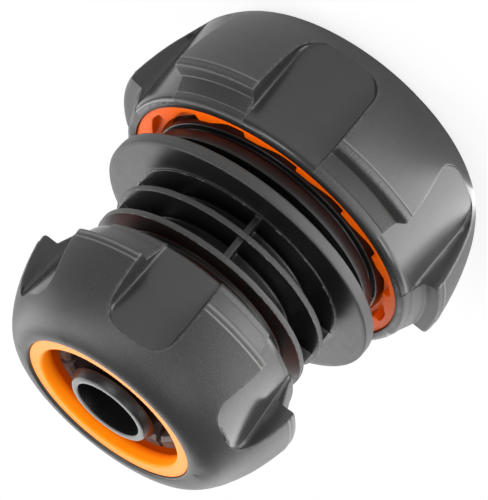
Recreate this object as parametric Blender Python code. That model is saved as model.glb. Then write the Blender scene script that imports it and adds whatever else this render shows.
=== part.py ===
"""Reducing hose mender: joins a small garden hose to a larger one.

One moulded connector body carries a barbed spigot at each end. Each hose is held on its
spigot by a slotted collet, which a screwed nut closes. A nut is a hard threaded insert
with a soft lugged grip bonded over it. Units are metres, +Z is up, and the axis of the
fitting is Z. The part stands on the front of its large nut, with the small end up.
Run it with: blender --background --python part.py
"""

import math
from dataclasses import dataclass

import bmesh
import bpy
from mathutils import Vector
from mathutils.geometry import interpolate_bezier

# Clearances
FIT_GAP = 0.00035  # between parts that turn or slide on each other
BOND_GAP = 0.0003  # between the soft grip and the hard insert inside it

# Middle of the body, from the small end to the large end
CORE_RADIUS = 0.0118
RING_RADIUS = 0.0169
RING_THICKNESS = 0.0009
RING_SPACING = 0.0034
FLANGE_INSET = 0.00015  # from the outer side of the large insert in to the flange's edge
FLANGE_THICKNESS = 0.0018
FLANGE_EDGE = 0.0003  # chamfer round the flange
FACE_STEP_RADIUS = 0.0166
FACE_STEP_HEIGHT = 0.0003
NECK_RADIUS = 0.0164
NECK_LENGTH = 0.0023
COLLAR_LENGTH = 0.0017
RELIEF_LENGTH = 0.0009
RELIEF_DEPTH = 0.0010
WEB_COUNT = 4
WEB_THICKNESS = 0.0009
WEB_INSET = 0.0007  # how far the webs stop short of the ring edge
WEB_ANGLE = math.radians(-86.5)

# Small end, for a hose of about 13 mm bore
SMALL_BORE_RADIUS = 0.0050
SMALL_SPIGOT_WALL = 0.00095
SMALL_SPIGOT_LENGTH = 0.0197
SMALL_BARB_HEIGHT = 0.00065
SMALL_BARB_PITCH = 0.0038
SMALL_BARB_LENGTH = 0.0015  # from the small end of a barb to its crest
SMALL_HOSE_SPACE = 0.0021
SMALL_FINGER_THICKNESS = 0.0026
SMALL_FINGER_COUNT = 12
SMALL_SLOT_ANGLE = math.radians(2.0)
SMALL_COLLET_LENGTH = 0.0122
SMALL_CUP_WALL = 0.00195
SMALL_CUP_DEPTH = 0.0088
SMALL_THREAD_LENGTH = 0.0109
SMALL_INSERT_WALL = 0.00225
SMALL_RING_WIDTH = 0.0019
SMALL_LIP_OVERLAP = 0.0002
SMALL_CONE_LENGTH = 0.0034
SMALL_NUT_LENGTH = 0.0174
SMALL_NUT_GAP = 0.0025
SMALL_GRIP_WALL = 0.0018  # from the insert's outer side out to the rear rim of the grip
SMALL_LUG_HEIGHT = 0.00355  # of a lug's back edge above the rear rim
SMALL_LUG_LENGTH = 0.0130
SMALL_LUG_TAPER = math.radians(7.6)
SMALL_FRONT_FLAT = 0.0004
SMALL_DOME_HANDLE = 0.0035
SMALL_FLANK_HANDLE = 0.0062
SMALL_PLATFORM_RISE = 0.0013
SMALL_FLOOR_DROP = 0.0007  # of a recess floor's back end below the rear rim
SMALL_FLOOR_RISE = 0.0010
SMALL_RECESS_START = 0.0035
SMALL_RECESS_CORNER = 0.0030
SMALL_RECESS_ANGLE = math.radians(78.4)

# Large end, for a hose of about 19 mm bore
LARGE_BORE_RADIUS = 0.0079
LARGE_SPIGOT_WALL = 0.0012
LARGE_SPIGOT_LENGTH = 0.0227
LARGE_BARB_HEIGHT = 0.0007
LARGE_BARB_PITCH = 0.0048
LARGE_BARB_LENGTH = 0.0018
LARGE_HOSE_SPACE = 0.0033
LARGE_FINGER_THICKNESS = 0.0026
LARGE_FINGER_COUNT = 16
LARGE_SLOT_ANGLE = math.radians(11.25)
LARGE_COLLET_LENGTH = 0.0126
LARGE_CUP_WALL = 0.0023
LARGE_CUP_DEPTH = 0.0110
LARGE_THREAD_LENGTH = 0.0157
LARGE_INSERT_WALL = 0.00295
LARGE_RING_WIDTH = 0.0019
LARGE_LIP_OVERLAP = 0.0006
LARGE_CONE_LENGTH = 0.0017
LARGE_NUT_LENGTH = 0.0202
LARGE_NUT_GAP = 0.0045
LARGE_GRIP_WALL = 0.00175
LARGE_LUG_HEIGHT = 0.0033
LARGE_LUG_LENGTH = 0.0168
LARGE_LUG_TAPER = math.radians(5.1)
LARGE_FRONT_FLAT = 0.0009
LARGE_DOME_HANDLE = 0.0057
LARGE_FLANK_HANDLE = 0.0064
LARGE_PLATFORM_RISE = 0.0010
LARGE_FLOOR_DROP = 0.0001
LARGE_FLOOR_RISE = 0.0003
LARGE_RECESS_START = 0.0041
LARGE_RECESS_CORNER = 0.0035
LARGE_RECESS_ANGLE = math.radians(-77.4)

# Details that both ends share
SLOT_WIDTH = 0.0010
COLLET_BAND = 0.0030  # unslotted length at the root of the fingers
TOOTH_COUNT = 2  # ridges inside the fingers that bite on the hose
TOOTH_START = 0.0014
TOOTH_PITCH = 0.0018
TOOTH_LENGTH = 0.0010
TOOTH_HEIGHT = 0.0003
LIP_LENGTH = 0.0023
FACE_RECESS = 0.0004  # ring face below the front of the grip
MOUTH_SLOPE = 0.0002  # width of the slope from the ring up to the front of the grip
LUG_COUNT = 6
RECESS_HALF_ANGLE = math.radians(14.4)
LUG_STEP_DEPTH = 0.00025
LUG_STEP_WIDTH = 0.0013
RIM_ROUND = 0.0012  # how far back the rounding of the rear rim starts
RIM_LIP = 0.0007
RATCHET_COUNT = 15
RATCHET_INSET = 0.0007
RATCHET_DEPTH = 0.0012
RATCHET_LENGTH = 0.0030
RATCHET_FLOOR_ANGLE = math.radians(7.3)
RATCHET_RAMP_ANGLE = math.radians(10.1)
RATCHET_START_ANGLE = math.radians(-86.5)
BARB_COUNT = 3
BARB_BACK = 0.0003  # length of the steep side of a barb, or of a finger's tooth
INSERT_SHOULDER = 0.0020  # from the end of the inner cone to the full outer size
COLLET_CHAMFER = 0.0009
THREAD_CHAMFER = 0.0006
BODY_SEGMENTS = 40
GRIP_SEGMENTS = 54
INSERT_SEGMENTS = 45
DOME_STEPS = 8
RIM_STEPS = 3
CORNER_STEPS = 3
RECESS_COLUMNS = 6

CUT_MARGIN = 0.002  # how far a cutter runs past what it cuts


@dataclass
class HoseEnd:
    """Sizes of one end. Radii are from the axis; depths are inward from the nut's front."""

    name: str
    bore: float
    spigot_wall: float
    spigot_length: float
    barb_height: float
    barb_pitch: float
    barb_length: float
    hose_space: float
    finger_thickness: float
    finger_count: int
    slot_angle: float
    collet_length: float
    cup_wall: float
    cup_depth: float
    thread_length: float
    insert_wall: float
    ring_width: float
    lip_overlap: float
    cone_length: float
    nut_length: float
    nut_gap: float
    grip_wall: float
    lug_height: float
    lug_length: float
    lug_taper: float
    front_flat: float
    dome_handle: float
    flank_handle: float
    platform_rise: float
    floor_drop: float
    floor_rise: float
    recess_start: float
    recess_corner: float
    recess_angle: float

    def __post_init__(self):
        self.root = self.bore + self.spigot_wall
        self.crest = self.root + self.barb_height
        self.finger_inner = self.crest + self.hose_space
        self.finger_outer = self.finger_inner + self.finger_thickness
        self.cup_inner = self.finger_outer + FIT_GAP
        self.thread = self.cup_inner + self.cup_wall
        self.insert_bore = self.thread + FIT_GAP
        self.insert_outer = self.insert_bore + self.insert_wall
        self.rim_radius = self.insert_outer + self.grip_wall
        self.lug_radius = self.rim_radius + self.lug_height
        self.floor_radius = self.rim_radius - self.floor_drop
        self.ring_inner = self.finger_outer - self.lip_overlap
        self.ring_outer = self.ring_inner + self.ring_width
        self.lip_back = FACE_RECESS + LIP_LENGTH
        self.cone_start = self.lip_back + FIT_GAP
        self.cone_end = self.cone_start + self.cone_length
        self.insert_shoulder = self.cone_end + INSERT_SHOULDER
        self.front_flat_start = self.ring_outer + BOND_GAP + MOUTH_SLOPE
        self.dome_start = self.front_flat_start + self.front_flat


SMALL = HoseEnd(
    name="small",
    bore=SMALL_BORE_RADIUS,
    spigot_wall=SMALL_SPIGOT_WALL,
    spigot_length=SMALL_SPIGOT_LENGTH,
    barb_height=SMALL_BARB_HEIGHT,
    barb_pitch=SMALL_BARB_PITCH,
    barb_length=SMALL_BARB_LENGTH,
    hose_space=SMALL_HOSE_SPACE,
    finger_thickness=SMALL_FINGER_THICKNESS,
    finger_count=SMALL_FINGER_COUNT,
    slot_angle=SMALL_SLOT_ANGLE,
    collet_length=SMALL_COLLET_LENGTH,
    cup_wall=SMALL_CUP_WALL,
    cup_depth=SMALL_CUP_DEPTH,
    thread_length=SMALL_THREAD_LENGTH,
    insert_wall=SMALL_INSERT_WALL,
    ring_width=SMALL_RING_WIDTH,
    lip_overlap=SMALL_LIP_OVERLAP,
    cone_length=SMALL_CONE_LENGTH,
    nut_length=SMALL_NUT_LENGTH,
    nut_gap=SMALL_NUT_GAP,
    grip_wall=SMALL_GRIP_WALL,
    lug_height=SMALL_LUG_HEIGHT,
    lug_length=SMALL_LUG_LENGTH,
    lug_taper=SMALL_LUG_TAPER,
    front_flat=SMALL_FRONT_FLAT,
    dome_handle=SMALL_DOME_HANDLE,
    flank_handle=SMALL_FLANK_HANDLE,
    platform_rise=SMALL_PLATFORM_RISE,
    floor_drop=SMALL_FLOOR_DROP,
    floor_rise=SMALL_FLOOR_RISE,
    recess_start=SMALL_RECESS_START,
    recess_corner=SMALL_RECESS_CORNER,
    recess_angle=SMALL_RECESS_ANGLE,
)

LARGE = HoseEnd(
    name="large",
    bore=LARGE_BORE_RADIUS,
    spigot_wall=LARGE_SPIGOT_WALL,
    spigot_length=LARGE_SPIGOT_LENGTH,
    barb_height=LARGE_BARB_HEIGHT,
    barb_pitch=LARGE_BARB_PITCH,
    barb_length=LARGE_BARB_LENGTH,
    hose_space=LARGE_HOSE_SPACE,
    finger_thickness=LARGE_FINGER_THICKNESS,
    finger_count=LARGE_FINGER_COUNT,
    slot_angle=LARGE_SLOT_ANGLE,
    collet_length=LARGE_COLLET_LENGTH,
    cup_wall=LARGE_CUP_WALL,
    cup_depth=LARGE_CUP_DEPTH,
    thread_length=LARGE_THREAD_LENGTH,
    insert_wall=LARGE_INSERT_WALL,
    ring_width=LARGE_RING_WIDTH,
    lip_overlap=LARGE_LIP_OVERLAP,
    cone_length=LARGE_CONE_LENGTH,
    nut_length=LARGE_NUT_LENGTH,
    nut_gap=LARGE_NUT_GAP,
    grip_wall=LARGE_GRIP_WALL,
    lug_height=LARGE_LUG_HEIGHT,
    lug_length=LARGE_LUG_LENGTH,
    lug_taper=LARGE_LUG_TAPER,
    front_flat=LARGE_FRONT_FLAT,
    dome_handle=LARGE_DOME_HANDLE,
    flank_handle=LARGE_FLANK_HANDLE,
    platform_rise=LARGE_PLATFORM_RISE,
    floor_drop=LARGE_FLOOR_DROP,
    floor_rise=LARGE_FLOOR_RISE,
    recess_start=LARGE_RECESS_START,
    recess_corner=LARGE_RECESS_CORNER,
    recess_angle=LARGE_RECESS_ANGLE,
)

# The flange covers the back of the large insert
FLANGE_RADIUS = LARGE.insert_outer - FLANGE_INSET

# Heights of the body's shoulders, with the large nut's front at zero
FLANGE_BACK = LARGE.nut_length + LARGE.nut_gap
FLANGE_FRONT = FLANGE_BACK + FLANGE_THICKNESS
LOWER_RING = FLANGE_FRONT + RING_SPACING
UPPER_RING = LOWER_RING + RING_THICKNESS + RING_SPACING
SMALL_SHOULDER = UPPER_RING + RING_THICKNESS
TOTAL_HEIGHT = SMALL_SHOULDER + SMALL.nut_gap + SMALL.nut_length


def clear_scene():
    for obj in list(bpy.data.objects):
        bpy.data.objects.remove(obj, do_unlink=True)


def plastic(name, colour, roughness):
    material = bpy.data.materials.new(name)
    material.use_nodes = True
    shader = material.node_tree.nodes["Principled BSDF"]
    shader.inputs["Base Color"].default_value = (*colour, 1.0)
    shader.inputs["Roughness"].default_value = roughness
    shader.inputs["Metallic"].default_value = 0.0
    return material


def add_object(name, bm, material=None):
    """Turns a bmesh into an object, with smooth round faces and crisp corners."""
    bmesh.ops.recalc_face_normals(bm, faces=bm.faces)
    mesh = bpy.data.meshes.new(name)
    bm.to_mesh(mesh)
    bm.free()
    mesh.shade_smooth()
    mesh.set_sharp_from_angle(angle=math.radians(35))
    obj = bpy.data.objects.new(name, mesh)
    bpy.context.scene.collection.objects.link(obj)
    if material:
        mesh.materials.append(material)
    return obj


def make_cutter(obj):
    obj.hide_render = True
    obj.display_type = "WIRE"
    return obj


def boolean(obj, other, operation):
    modifier = obj.modifiers.new(other.name, "BOOLEAN")
    modifier.operation = operation
    modifier.solver = "EXACT"
    modifier.object = other


def turned(name, outline, segments, material=None):
    """Solid turned about Z from a closed outline of (radius, height) points."""
    bm = bmesh.new()
    verts = [bm.verts.new((radius, 0.0, height)) for radius, height in outline]
    edges = [bm.edges.new(pair) for pair in zip(verts, verts[1:] + verts[:1])]
    bmesh.ops.spin(
        bm,
        geom=verts + edges,
        cent=(0.0, 0.0, 0.0),
        axis=(0.0, 0.0, 1.0),
        angle=2.0 * math.pi,
        steps=segments,
        use_merge=True,
    )
    return add_object(name, bm, material)


def polar(radius, angle, height):
    return (radius * math.cos(angle), radius * math.sin(angle), height)


def add_prism(bm, bottom, top):
    """Closed solid between two loops that have as many points as each other."""
    low = [bm.verts.new(point) for point in bottom]
    high = [bm.verts.new(point) for point in top]
    bm.faces.new(low)
    bm.faces.new(high[::-1])
    for i in range(len(low)):
        j = (i + 1) % len(low)
        bm.faces.new((low[i], high[i], high[j], low[j]))


def barbed_outline(end, tip, towards_tip):
    """Spigot outline from its tip to its root, with barbs that lean away from the tip."""
    points = []
    for index in range(BARB_COUNT):
        start = tip - towards_tip * index * end.barb_pitch
        crest = start - towards_tip * end.barb_length
        points.append((end.root, start))
        points.append((end.crest, crest))
        points.append((end.root, crest - towards_tip * BARB_BACK))
    return points


def cup_outline(end, shoulder, outward):
    """Outline from the spigot's root round the cup that holds the collet, to its thread."""
    rim = shoulder + outward * end.thread_length
    floor = rim - outward * end.cup_depth
    chamfer = rim - outward * THREAD_CHAMFER
    return [
        (end.root, floor),
        (end.cup_inner, floor),
        (end.cup_inner, rim),
        (end.thread - THREAD_CHAMFER, rim),
        (end.thread, chamfer),
    ]


def build_body(material):
    small_tip = SMALL_SHOULDER + SMALL.spigot_length
    large_tip = FLANGE_BACK - LARGE.spigot_length
    neck_end = FLANGE_BACK - NECK_LENGTH
    collar_end = neck_end - COLLAR_LENGTH
    relief_end = collar_end - RELIEF_LENGTH
    edge = FLANGE_RADIUS - FLANGE_EDGE
    outline = [
        (SMALL.bore, small_tip),
        *barbed_outline(SMALL, small_tip, 1),
        *cup_outline(SMALL, SMALL_SHOULDER, 1),
        (SMALL.thread, SMALL_SHOULDER),
        (RING_RADIUS, SMALL_SHOULDER),
        (RING_RADIUS, UPPER_RING),
        (CORE_RADIUS, UPPER_RING),
        (CORE_RADIUS, LOWER_RING + RING_THICKNESS),
        (RING_RADIUS, LOWER_RING + RING_THICKNESS),
        (RING_RADIUS, LOWER_RING),
        (CORE_RADIUS, LOWER_RING),
        (CORE_RADIUS, FLANGE_FRONT + FACE_STEP_HEIGHT),
        (FACE_STEP_RADIUS, FLANGE_FRONT + FACE_STEP_HEIGHT),
        (FACE_STEP_RADIUS, FLANGE_FRONT),
        (edge, FLANGE_FRONT),
        (FLANGE_RADIUS, FLANGE_FRONT - FLANGE_EDGE),
        (FLANGE_RADIUS, FLANGE_BACK + FLANGE_EDGE),
        (edge, FLANGE_BACK),
        (NECK_RADIUS, FLANGE_BACK),
        (NECK_RADIUS, neck_end),
        (LARGE.thread, neck_end),
        (LARGE.thread, collar_end),
        (LARGE.thread - RELIEF_DEPTH, collar_end),
        (LARGE.thread - RELIEF_DEPTH, relief_end),
        (LARGE.thread, relief_end),
        *cup_outline(LARGE, FLANGE_BACK, -1)[::-1],
        *barbed_outline(LARGE, large_tip, -1)[::-1],
        (LARGE.bore, large_tip),
        (LARGE.bore, FLANGE_BACK),
        (SMALL.bore, UPPER_RING),
    ]
    body = turned("connector_body", outline, BODY_SEGMENTS, material)

    bm = bmesh.new()
    low = FLANGE_BACK + 0.5 * FLANGE_THICKNESS
    high = UPPER_RING + 0.5 * RING_THICKNESS
    inner = CORE_RADIUS - CUT_MARGIN
    outer = RING_RADIUS - WEB_INSET
    half = 0.5 * WEB_THICKNESS
    for index in range(WEB_COUNT):
        angle = WEB_ANGLE + index * 2.0 * math.pi / WEB_COUNT
        along = Vector((math.cos(angle), math.sin(angle), 0.0))
        across = Vector((-along.y, along.x, 0.0))
        corners = [(inner, -half), (outer, -half), (outer, half), (inner, half)]
        base = [along * out + across * side for out, side in corners]
        add_prism(
            bm,
            [point + Vector((0.0, 0.0, low)) for point in base],
            [point + Vector((0.0, 0.0, high)) for point in base],
        )
    webs = make_cutter(add_object("web_block", bm))
    boolean(body, webs, "UNION")
    return body


def finger_teeth(end):
    """Teeth inside a collet's fingers, from the deepest to the front one."""
    points = []
    for index in reversed(range(TOOTH_COUNT)):
        start = end.cone_start + TOOTH_START + index * TOOTH_PITCH
        crest = start + TOOTH_LENGTH
        points.append((end.finger_inner, crest + BARB_BACK))
        points.append((end.finger_inner - TOOTH_HEIGHT, crest))
        points.append((end.finger_inner, start))
    return points


def build_collet(end, material):
    """Slotted sleeve; its fingers point at the nut's front, and depth runs along +Z."""
    front = end.cone_start
    back = front + end.collet_length
    outline = [
        (end.finger_inner, front),
        (end.finger_outer - COLLET_CHAMFER, front),
        (end.finger_outer, front + COLLET_CHAMFER),
        (end.finger_outer, back),
        (end.finger_inner + COLLET_CHAMFER, back),
        (end.finger_inner, back - COLLET_CHAMFER),
        *finger_teeth(end),
    ]
    collet = turned(f"{end.name}_collet", outline, BODY_SEGMENTS, material)

    bm = bmesh.new()
    inner = end.finger_inner - CUT_MARGIN
    outer = end.finger_outer + CUT_MARGIN
    half = 0.5 * SLOT_WIDTH
    slot_back = back - COLLET_BAND
    for index in range(end.finger_count):
        angle = end.slot_angle + index * 2.0 * math.pi / end.finger_count
        along = Vector((math.cos(angle), math.sin(angle), 0.0))
        across = Vector((-along.y, along.x, 0.0))
        corners = [(inner, -half), (outer, -half), (outer, half), (inner, half)]
        base = [along * out + across * side for out, side in corners]
        add_prism(
            bm,
            [point + Vector((0.0, 0.0, front - CUT_MARGIN)) for point in base],
            [point + Vector((0.0, 0.0, slot_back)) for point in base],
        )
    slots = make_cutter(add_object(f"{end.name}_slot_cutter", bm))
    boolean(collet, slots, "DIFFERENCE")
    return [collet, slots]


def build_insert(end, material):
    """Hard threaded shell of a nut; its front ring shows, and its back has a ratchet."""
    tooth_radius = end.insert_bore + RATCHET_INSET
    back = end.nut_length - BOND_GAP
    ratchet_floor = back - RATCHET_LENGTH
    outline = [
        (end.ring_inner, FACE_RECESS),
        (end.ring_outer, FACE_RECESS),
        (end.ring_outer, FACE_RECESS + 0.5 * LIP_LENGTH),
        (end.insert_outer, end.insert_shoulder),
        (end.insert_outer, back),
        (tooth_radius, back),
        (tooth_radius, ratchet_floor),
        (end.insert_bore, ratchet_floor),
        (end.insert_bore, end.cone_end),
        (end.cup_inner, end.cone_start),
        (end.cup_inner, end.lip_back),
        (end.ring_inner, end.lip_back),
    ]
    insert = turned(f"{end.name}_nut_insert", outline, INSERT_SEGMENTS, material)

    bm = bmesh.new()
    notch_radius = tooth_radius + RATCHET_DEPTH
    inner = tooth_radius - 0.5 * RATCHET_INSET
    for index in range(RATCHET_COUNT):
        start = RATCHET_START_ANGLE + index * 2.0 * math.pi / RATCHET_COUNT
        floor_end = start + RATCHET_FLOOR_ANGLE
        ramp_end = floor_end + RATCHET_RAMP_ANGLE
        loop = [
            (inner, start),
            (notch_radius, start),
            (notch_radius, floor_end),
            (tooth_radius, ramp_end),
            (inner, ramp_end),
            (inner, floor_end),
        ]
        add_prism(
            bm,
            [polar(radius, angle, ratchet_floor) for radius, angle in loop],
            [polar(radius, angle, back + CUT_MARGIN) for radius, angle in loop],
        )
    notches = make_cutter(add_object(f"{end.name}_ratchet_cutter", bm))
    boolean(insert, notches, "DIFFERENCE")
    return [insert, notches]


def dome_outline(end):
    """Grip outline from the front flat over the dome to the back edge of a lug."""
    start = Vector((end.dome_start, 0.0, 0.0))
    finish = Vector((end.lug_radius, end.lug_length, 0.0))
    lean = Vector((math.sin(end.lug_taper), math.cos(end.lug_taper), 0.0))
    curve = interpolate_bezier(
        start,
        start + Vector((end.dome_handle, 0.0, 0.0)),
        finish - lean * end.flank_handle,
        finish,
        DOME_STEPS + 1,
    )
    step = lean * LUG_STEP_WIDTH
    points = [(point.x, point.y) for point in curve[:-1] if (finish - point).length > step.length]
    edge = finish - step
    points.append((edge.x, edge.y))
    points.append((edge.x - LUG_STEP_DEPTH, edge.y + 0.5 * LUG_STEP_DEPTH))
    points.append((finish.x - LUG_STEP_DEPTH, finish.y))
    return points


def recess_loops(end):
    """Rows of (depth, half angle) down a finger recess, whose front corners are round."""
    corner_angle = end.recess_corner / (end.floor_radius + end.floor_rise)
    rows = []
    for index in range(CORNER_STEPS + 1):
        turn = 0.5 * math.pi * index / CORNER_STEPS
        depth = end.recess_start + end.recess_corner * (1.0 - math.cos(turn))
        rows.append((depth, RECESS_HALF_ANGLE - corner_angle * (1.0 - math.sin(turn))))
    rows.append((end.nut_length + CUT_MARGIN, RECESS_HALF_ANGLE))
    return rows


def add_recess(bm, end, centre):
    """Block of one finger recess: its floor is a cone, and its walls are radial."""
    outer = end.lug_radius + CUT_MARGIN
    span = end.nut_length - end.recess_start
    layers = []
    for use_floor in (True, False):
        grid = []
        for depth, half in recess_loops(end):
            drop = (depth - end.recess_start) / span
            floor = end.floor_radius + end.floor_rise * (1.0 - drop)
            radius = floor if use_floor else outer
            row = []
            for column in range(RECESS_COLUMNS + 1):
                angle = centre + half * (2.0 * column / RECESS_COLUMNS - 1.0)
                row.append(bm.verts.new(polar(radius, angle, depth)))
            grid.append(row)
        layers.append(grid)
    for grid in layers:
        for row, following in zip(grid, grid[1:]):
            for i in range(RECESS_COLUMNS):
                bm.faces.new((row[i], row[i + 1], following[i + 1], following[i]))
    floor_grid, outer_grid = layers
    for row, other in ((floor_grid[0], outer_grid[0]), (floor_grid[-1], outer_grid[-1])):
        for i in range(RECESS_COLUMNS):
            bm.faces.new((row[i], row[i + 1], other[i + 1], other[i]))
    for side in (0, RECESS_COLUMNS):
        for i in range(len(floor_grid) - 1):
            bm.faces.new(
                (
                    floor_grid[i][side],
                    floor_grid[i + 1][side],
                    outer_grid[i + 1][side],
                    outer_grid[i][side],
                )
            )


def rim_outline(end):
    """Rounded rear rim of the grip, from its outer side to its flat back face."""
    points = []
    for index in range(RIM_STEPS + 1):
        turn = 0.5 * math.pi * index / RIM_STEPS
        radius = end.rim_radius - RIM_LIP * (1.0 - math.cos(turn))
        points.append((radius, end.nut_length - RIM_ROUND * (1.0 - math.sin(turn))))
    return points


def build_grip(end, material):
    """Soft grip of a nut: a dome that spreads into lugs, parted by finger recesses."""
    inner = end.insert_outer + BOND_GAP
    mouth = end.ring_outer + BOND_GAP
    outline = [
        (mouth, FACE_RECESS),
        (end.front_flat_start, 0.0),
        *dome_outline(end),
        (end.rim_radius + end.platform_rise, end.lug_length),
        *rim_outline(end),
        (inner, end.nut_length),
        (inner, end.insert_shoulder),
        (mouth, FACE_RECESS + 0.5 * LIP_LENGTH),
    ]
    grip = turned(f"{end.name}_nut_grip", outline, GRIP_SEGMENTS, material)

    bm = bmesh.new()
    for index in range(LUG_COUNT):
        add_recess(bm, end, end.recess_angle + index * 2.0 * math.pi / LUG_COUNT)
    recesses = make_cutter(add_object(f"{end.name}_recess_cutter", bm))
    boolean(grip, recesses, "DIFFERENCE")
    return [grip, recesses]


def build_end(end, materials):
    """Nut and collet of one end, hung from an empty on the axis at the nut's front."""
    origin = bpy.data.objects.new(f"{end.name}_nut_front", None)
    bpy.context.scene.collection.objects.link(origin)
    pieces = [
        *build_grip(end, materials["grip"]),
        *build_insert(end, materials["insert"]),
        *build_collet(end, materials["collet"]),
    ]
    for piece in pieces:
        piece.parent = origin
    return origin


def main():
    clear_scene()
    materials = {
        "body": plastic("body_black", (0.018, 0.018, 0.019), 0.38),
        "grip": plastic("grip_grey", (0.066, 0.066, 0.063), 0.55),
        "insert": plastic("insert_orange", (0.95, 0.20, 0.015), 0.32),
        "collet": plastic("collet_grey", (0.045, 0.042, 0.042), 0.42),
    }
    build_body(materials["body"])
    build_end(LARGE, materials)
    small_front = build_end(SMALL, materials)
    small_front.location = (0.0, 0.0, TOTAL_HEIGHT)
    small_front.rotation_euler = (math.pi, 0.0, 0.0)


main()
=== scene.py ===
"""Looks of a reducing hose mender, built around its fixed frame.

Every moulding is a detailed mesh with its own plastic. Lengths are metres, +Z is up, and
the axis of the fitting is Z. The large nut's front lies on the floor, and a nut's own
depth is measured inward from its front.
"""

import math

import bmesh
import bpy
import numpy as np
from mathutils import Matrix, Vector, noise


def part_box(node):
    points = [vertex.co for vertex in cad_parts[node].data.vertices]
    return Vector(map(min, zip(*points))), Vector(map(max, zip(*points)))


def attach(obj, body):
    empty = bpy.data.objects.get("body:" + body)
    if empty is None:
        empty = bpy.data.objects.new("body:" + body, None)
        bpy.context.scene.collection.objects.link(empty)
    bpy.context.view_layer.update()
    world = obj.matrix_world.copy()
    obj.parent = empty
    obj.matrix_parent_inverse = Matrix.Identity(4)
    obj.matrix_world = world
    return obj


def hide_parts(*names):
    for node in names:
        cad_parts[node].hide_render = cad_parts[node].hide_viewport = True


bl_info = {
    "name": "Reducing Hose Mender",
    "version": (1, 0, 0),
    "blender": (4, 5, 0),
    "location": "View3D > Sidebar > Mender",
    "description": "Builds the mouldings, plastics and studio of a reducing hose mender",
    "category": "Add Mesh",
}

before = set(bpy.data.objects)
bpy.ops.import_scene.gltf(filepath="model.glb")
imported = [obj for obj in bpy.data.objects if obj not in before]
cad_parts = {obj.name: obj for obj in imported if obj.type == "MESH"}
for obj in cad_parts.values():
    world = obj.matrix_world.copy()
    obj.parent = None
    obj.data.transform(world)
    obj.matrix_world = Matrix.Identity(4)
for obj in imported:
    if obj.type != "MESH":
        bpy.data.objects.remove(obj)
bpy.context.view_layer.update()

MM = 0.001
TURN = 2.0 * math.pi


def length(label, description, millimetres):
    return bpy.props.FloatProperty(
        name=label, description=description, default=millimetres * MM, unit="LENGTH", precision=5
    )


def angle(label, description, degrees):
    return bpy.props.FloatProperty(
        name=label, description=description, default=math.radians(degrees), subtype="ANGLE"
    )


def colour(label, description, red, green, blue):
    return bpy.props.FloatVectorProperty(
        name=label, description=description, default=(red, green, blue), subtype="COLOR", min=0, max=1
    )


def share(label, description, value):
    return bpy.props.FloatProperty(
        name=label, description=description, default=value, subtype="FACTOR", min=0, max=1
    )


def end_sizes(pick):
    """Sizes that both ends have; pick takes the small or the large end's value."""

    class EndSizes:
        bore: length("Bore", "Inside radius of the spigot", pick(5.0, 7.9))
        spigot_wall: length("Spigot wall", "Wall of the spigot between its barbs", pick(0.95, 1.2))
        spigot_length: length("Spigot length", "From the body's shoulder to the tip", pick(19.7, 22.7))
        barb_height: length("Barb height", "How far a barb stands out", pick(0.65, 0.7))
        barb_pitch: length("Barb pitch", "From one barb to the next", pick(3.8, 4.8))
        barb_length: length("Barb length", "From a barb's start to its crest", pick(1.5, 1.8))
        hose_space: length("Hose space", "Gap for the hose between barbs and fingers", pick(2.1, 3.3))
        finger_thickness: length("Finger thickness", "Wall of the collet", pick(2.6, 2.6))
        finger_count: bpy.props.IntProperty(
            name="Fingers", description="Number of fingers on the collet", default=pick(12, 16), min=3
        )
        slot_angle: angle("Slot angle", "Place of the collet's first slot", pick(2.0, 11.25))
        collet_length: length("Collet length", "Length of the collet", pick(12.2, 12.6))
        cup_wall: length("Cup wall", "Wall of the cup that carries the thread", pick(1.95, 2.3))
        cup_depth: length("Cup depth", "From the cup's rim to its floor", pick(8.8, 11.0))
        thread_length: length("Thread length", "From the shoulder to the cup's rim", pick(10.9, 15.7))
        thread_lead: length("Thread lead", "How far the nut moves in one turn", pick(3.0, 4.0))
        thread_depth: length("Thread depth", "Depth of the thread on the cup", pick(0.75, 1.0))
        thread_stop: length("Thread stop", "From the shell's back to its thread", pick(4.0, 5.6))
        insert_wall: length("Insert wall", "Wall of the hard shell in the nut", pick(2.25, 2.95))
        ring_width: length("Ring width", "Width of the shell's front ring", pick(1.9, 1.9))
        lip_overlap: length("Lip overlap", "How far the front ring covers the collet", pick(0.2, 0.6))
        cone_length: length("Cone length", "Length of the cone that closes the collet", pick(3.4, 1.7))
        nut_length: length("Nut length", "Length of the nut along the axis", pick(17.4, 20.2))
        nut_gap: length("Nut gap", "From the nut's back to the body's shoulder", pick(2.5, 4.5))
        grip_wall: length("Grip wall", "From the shell out to the grip's rear rim", pick(1.8, 1.75))
        lug_height: length("Lug height", "Height of a lug's back edge above the rim", pick(3.55, 3.3))
        lug_length: length("Lug length", "From the nut's front to a lug's back edge", pick(13.0, 16.8))
        lug_taper: angle("Lug taper", "Slope of a lug at its back edge", pick(7.6, 5.1))
        front_flat: length("Front flat", "Width of the flat ring round the mouth", pick(0.4, 0.9))
        dome_handle: length("Dome handle", "Fullness of the dome at its front", pick(3.5, 5.7))
        flank_handle: length("Flank handle", "Fullness of the dome at its back", pick(6.2, 6.4))
        platform_rise: length("Platform rise", "Height of the pad behind a lug", pick(1.3, 1.0))
        floor_drop: length("Floor drop", "Depth of a recess below the rear rim", pick(0.7, 0.1))
        floor_rise: length("Floor rise", "Rise of a recess floor to the front", pick(1.0, 0.3))
        recess_start: length("Recess start", "From the nut's front to a recess", pick(3.5, 4.1))
        recess_corner: length("Recess corner", "Radius of a recess's front corners", pick(3.0, 3.5))
        recess_angle: angle("Recess angle", "Place of the first recess", pick(78.4, -77.4))
        comb: share("Comb", "Strength of the comb marks on a lug's stepped band", pick(0.15, 1.0))

    return EndSizes


class SmallEndSizes(end_sizes(lambda small, large: small), bpy.types.PropertyGroup):
    """Sizes of the end that takes the small hose"""


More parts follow.
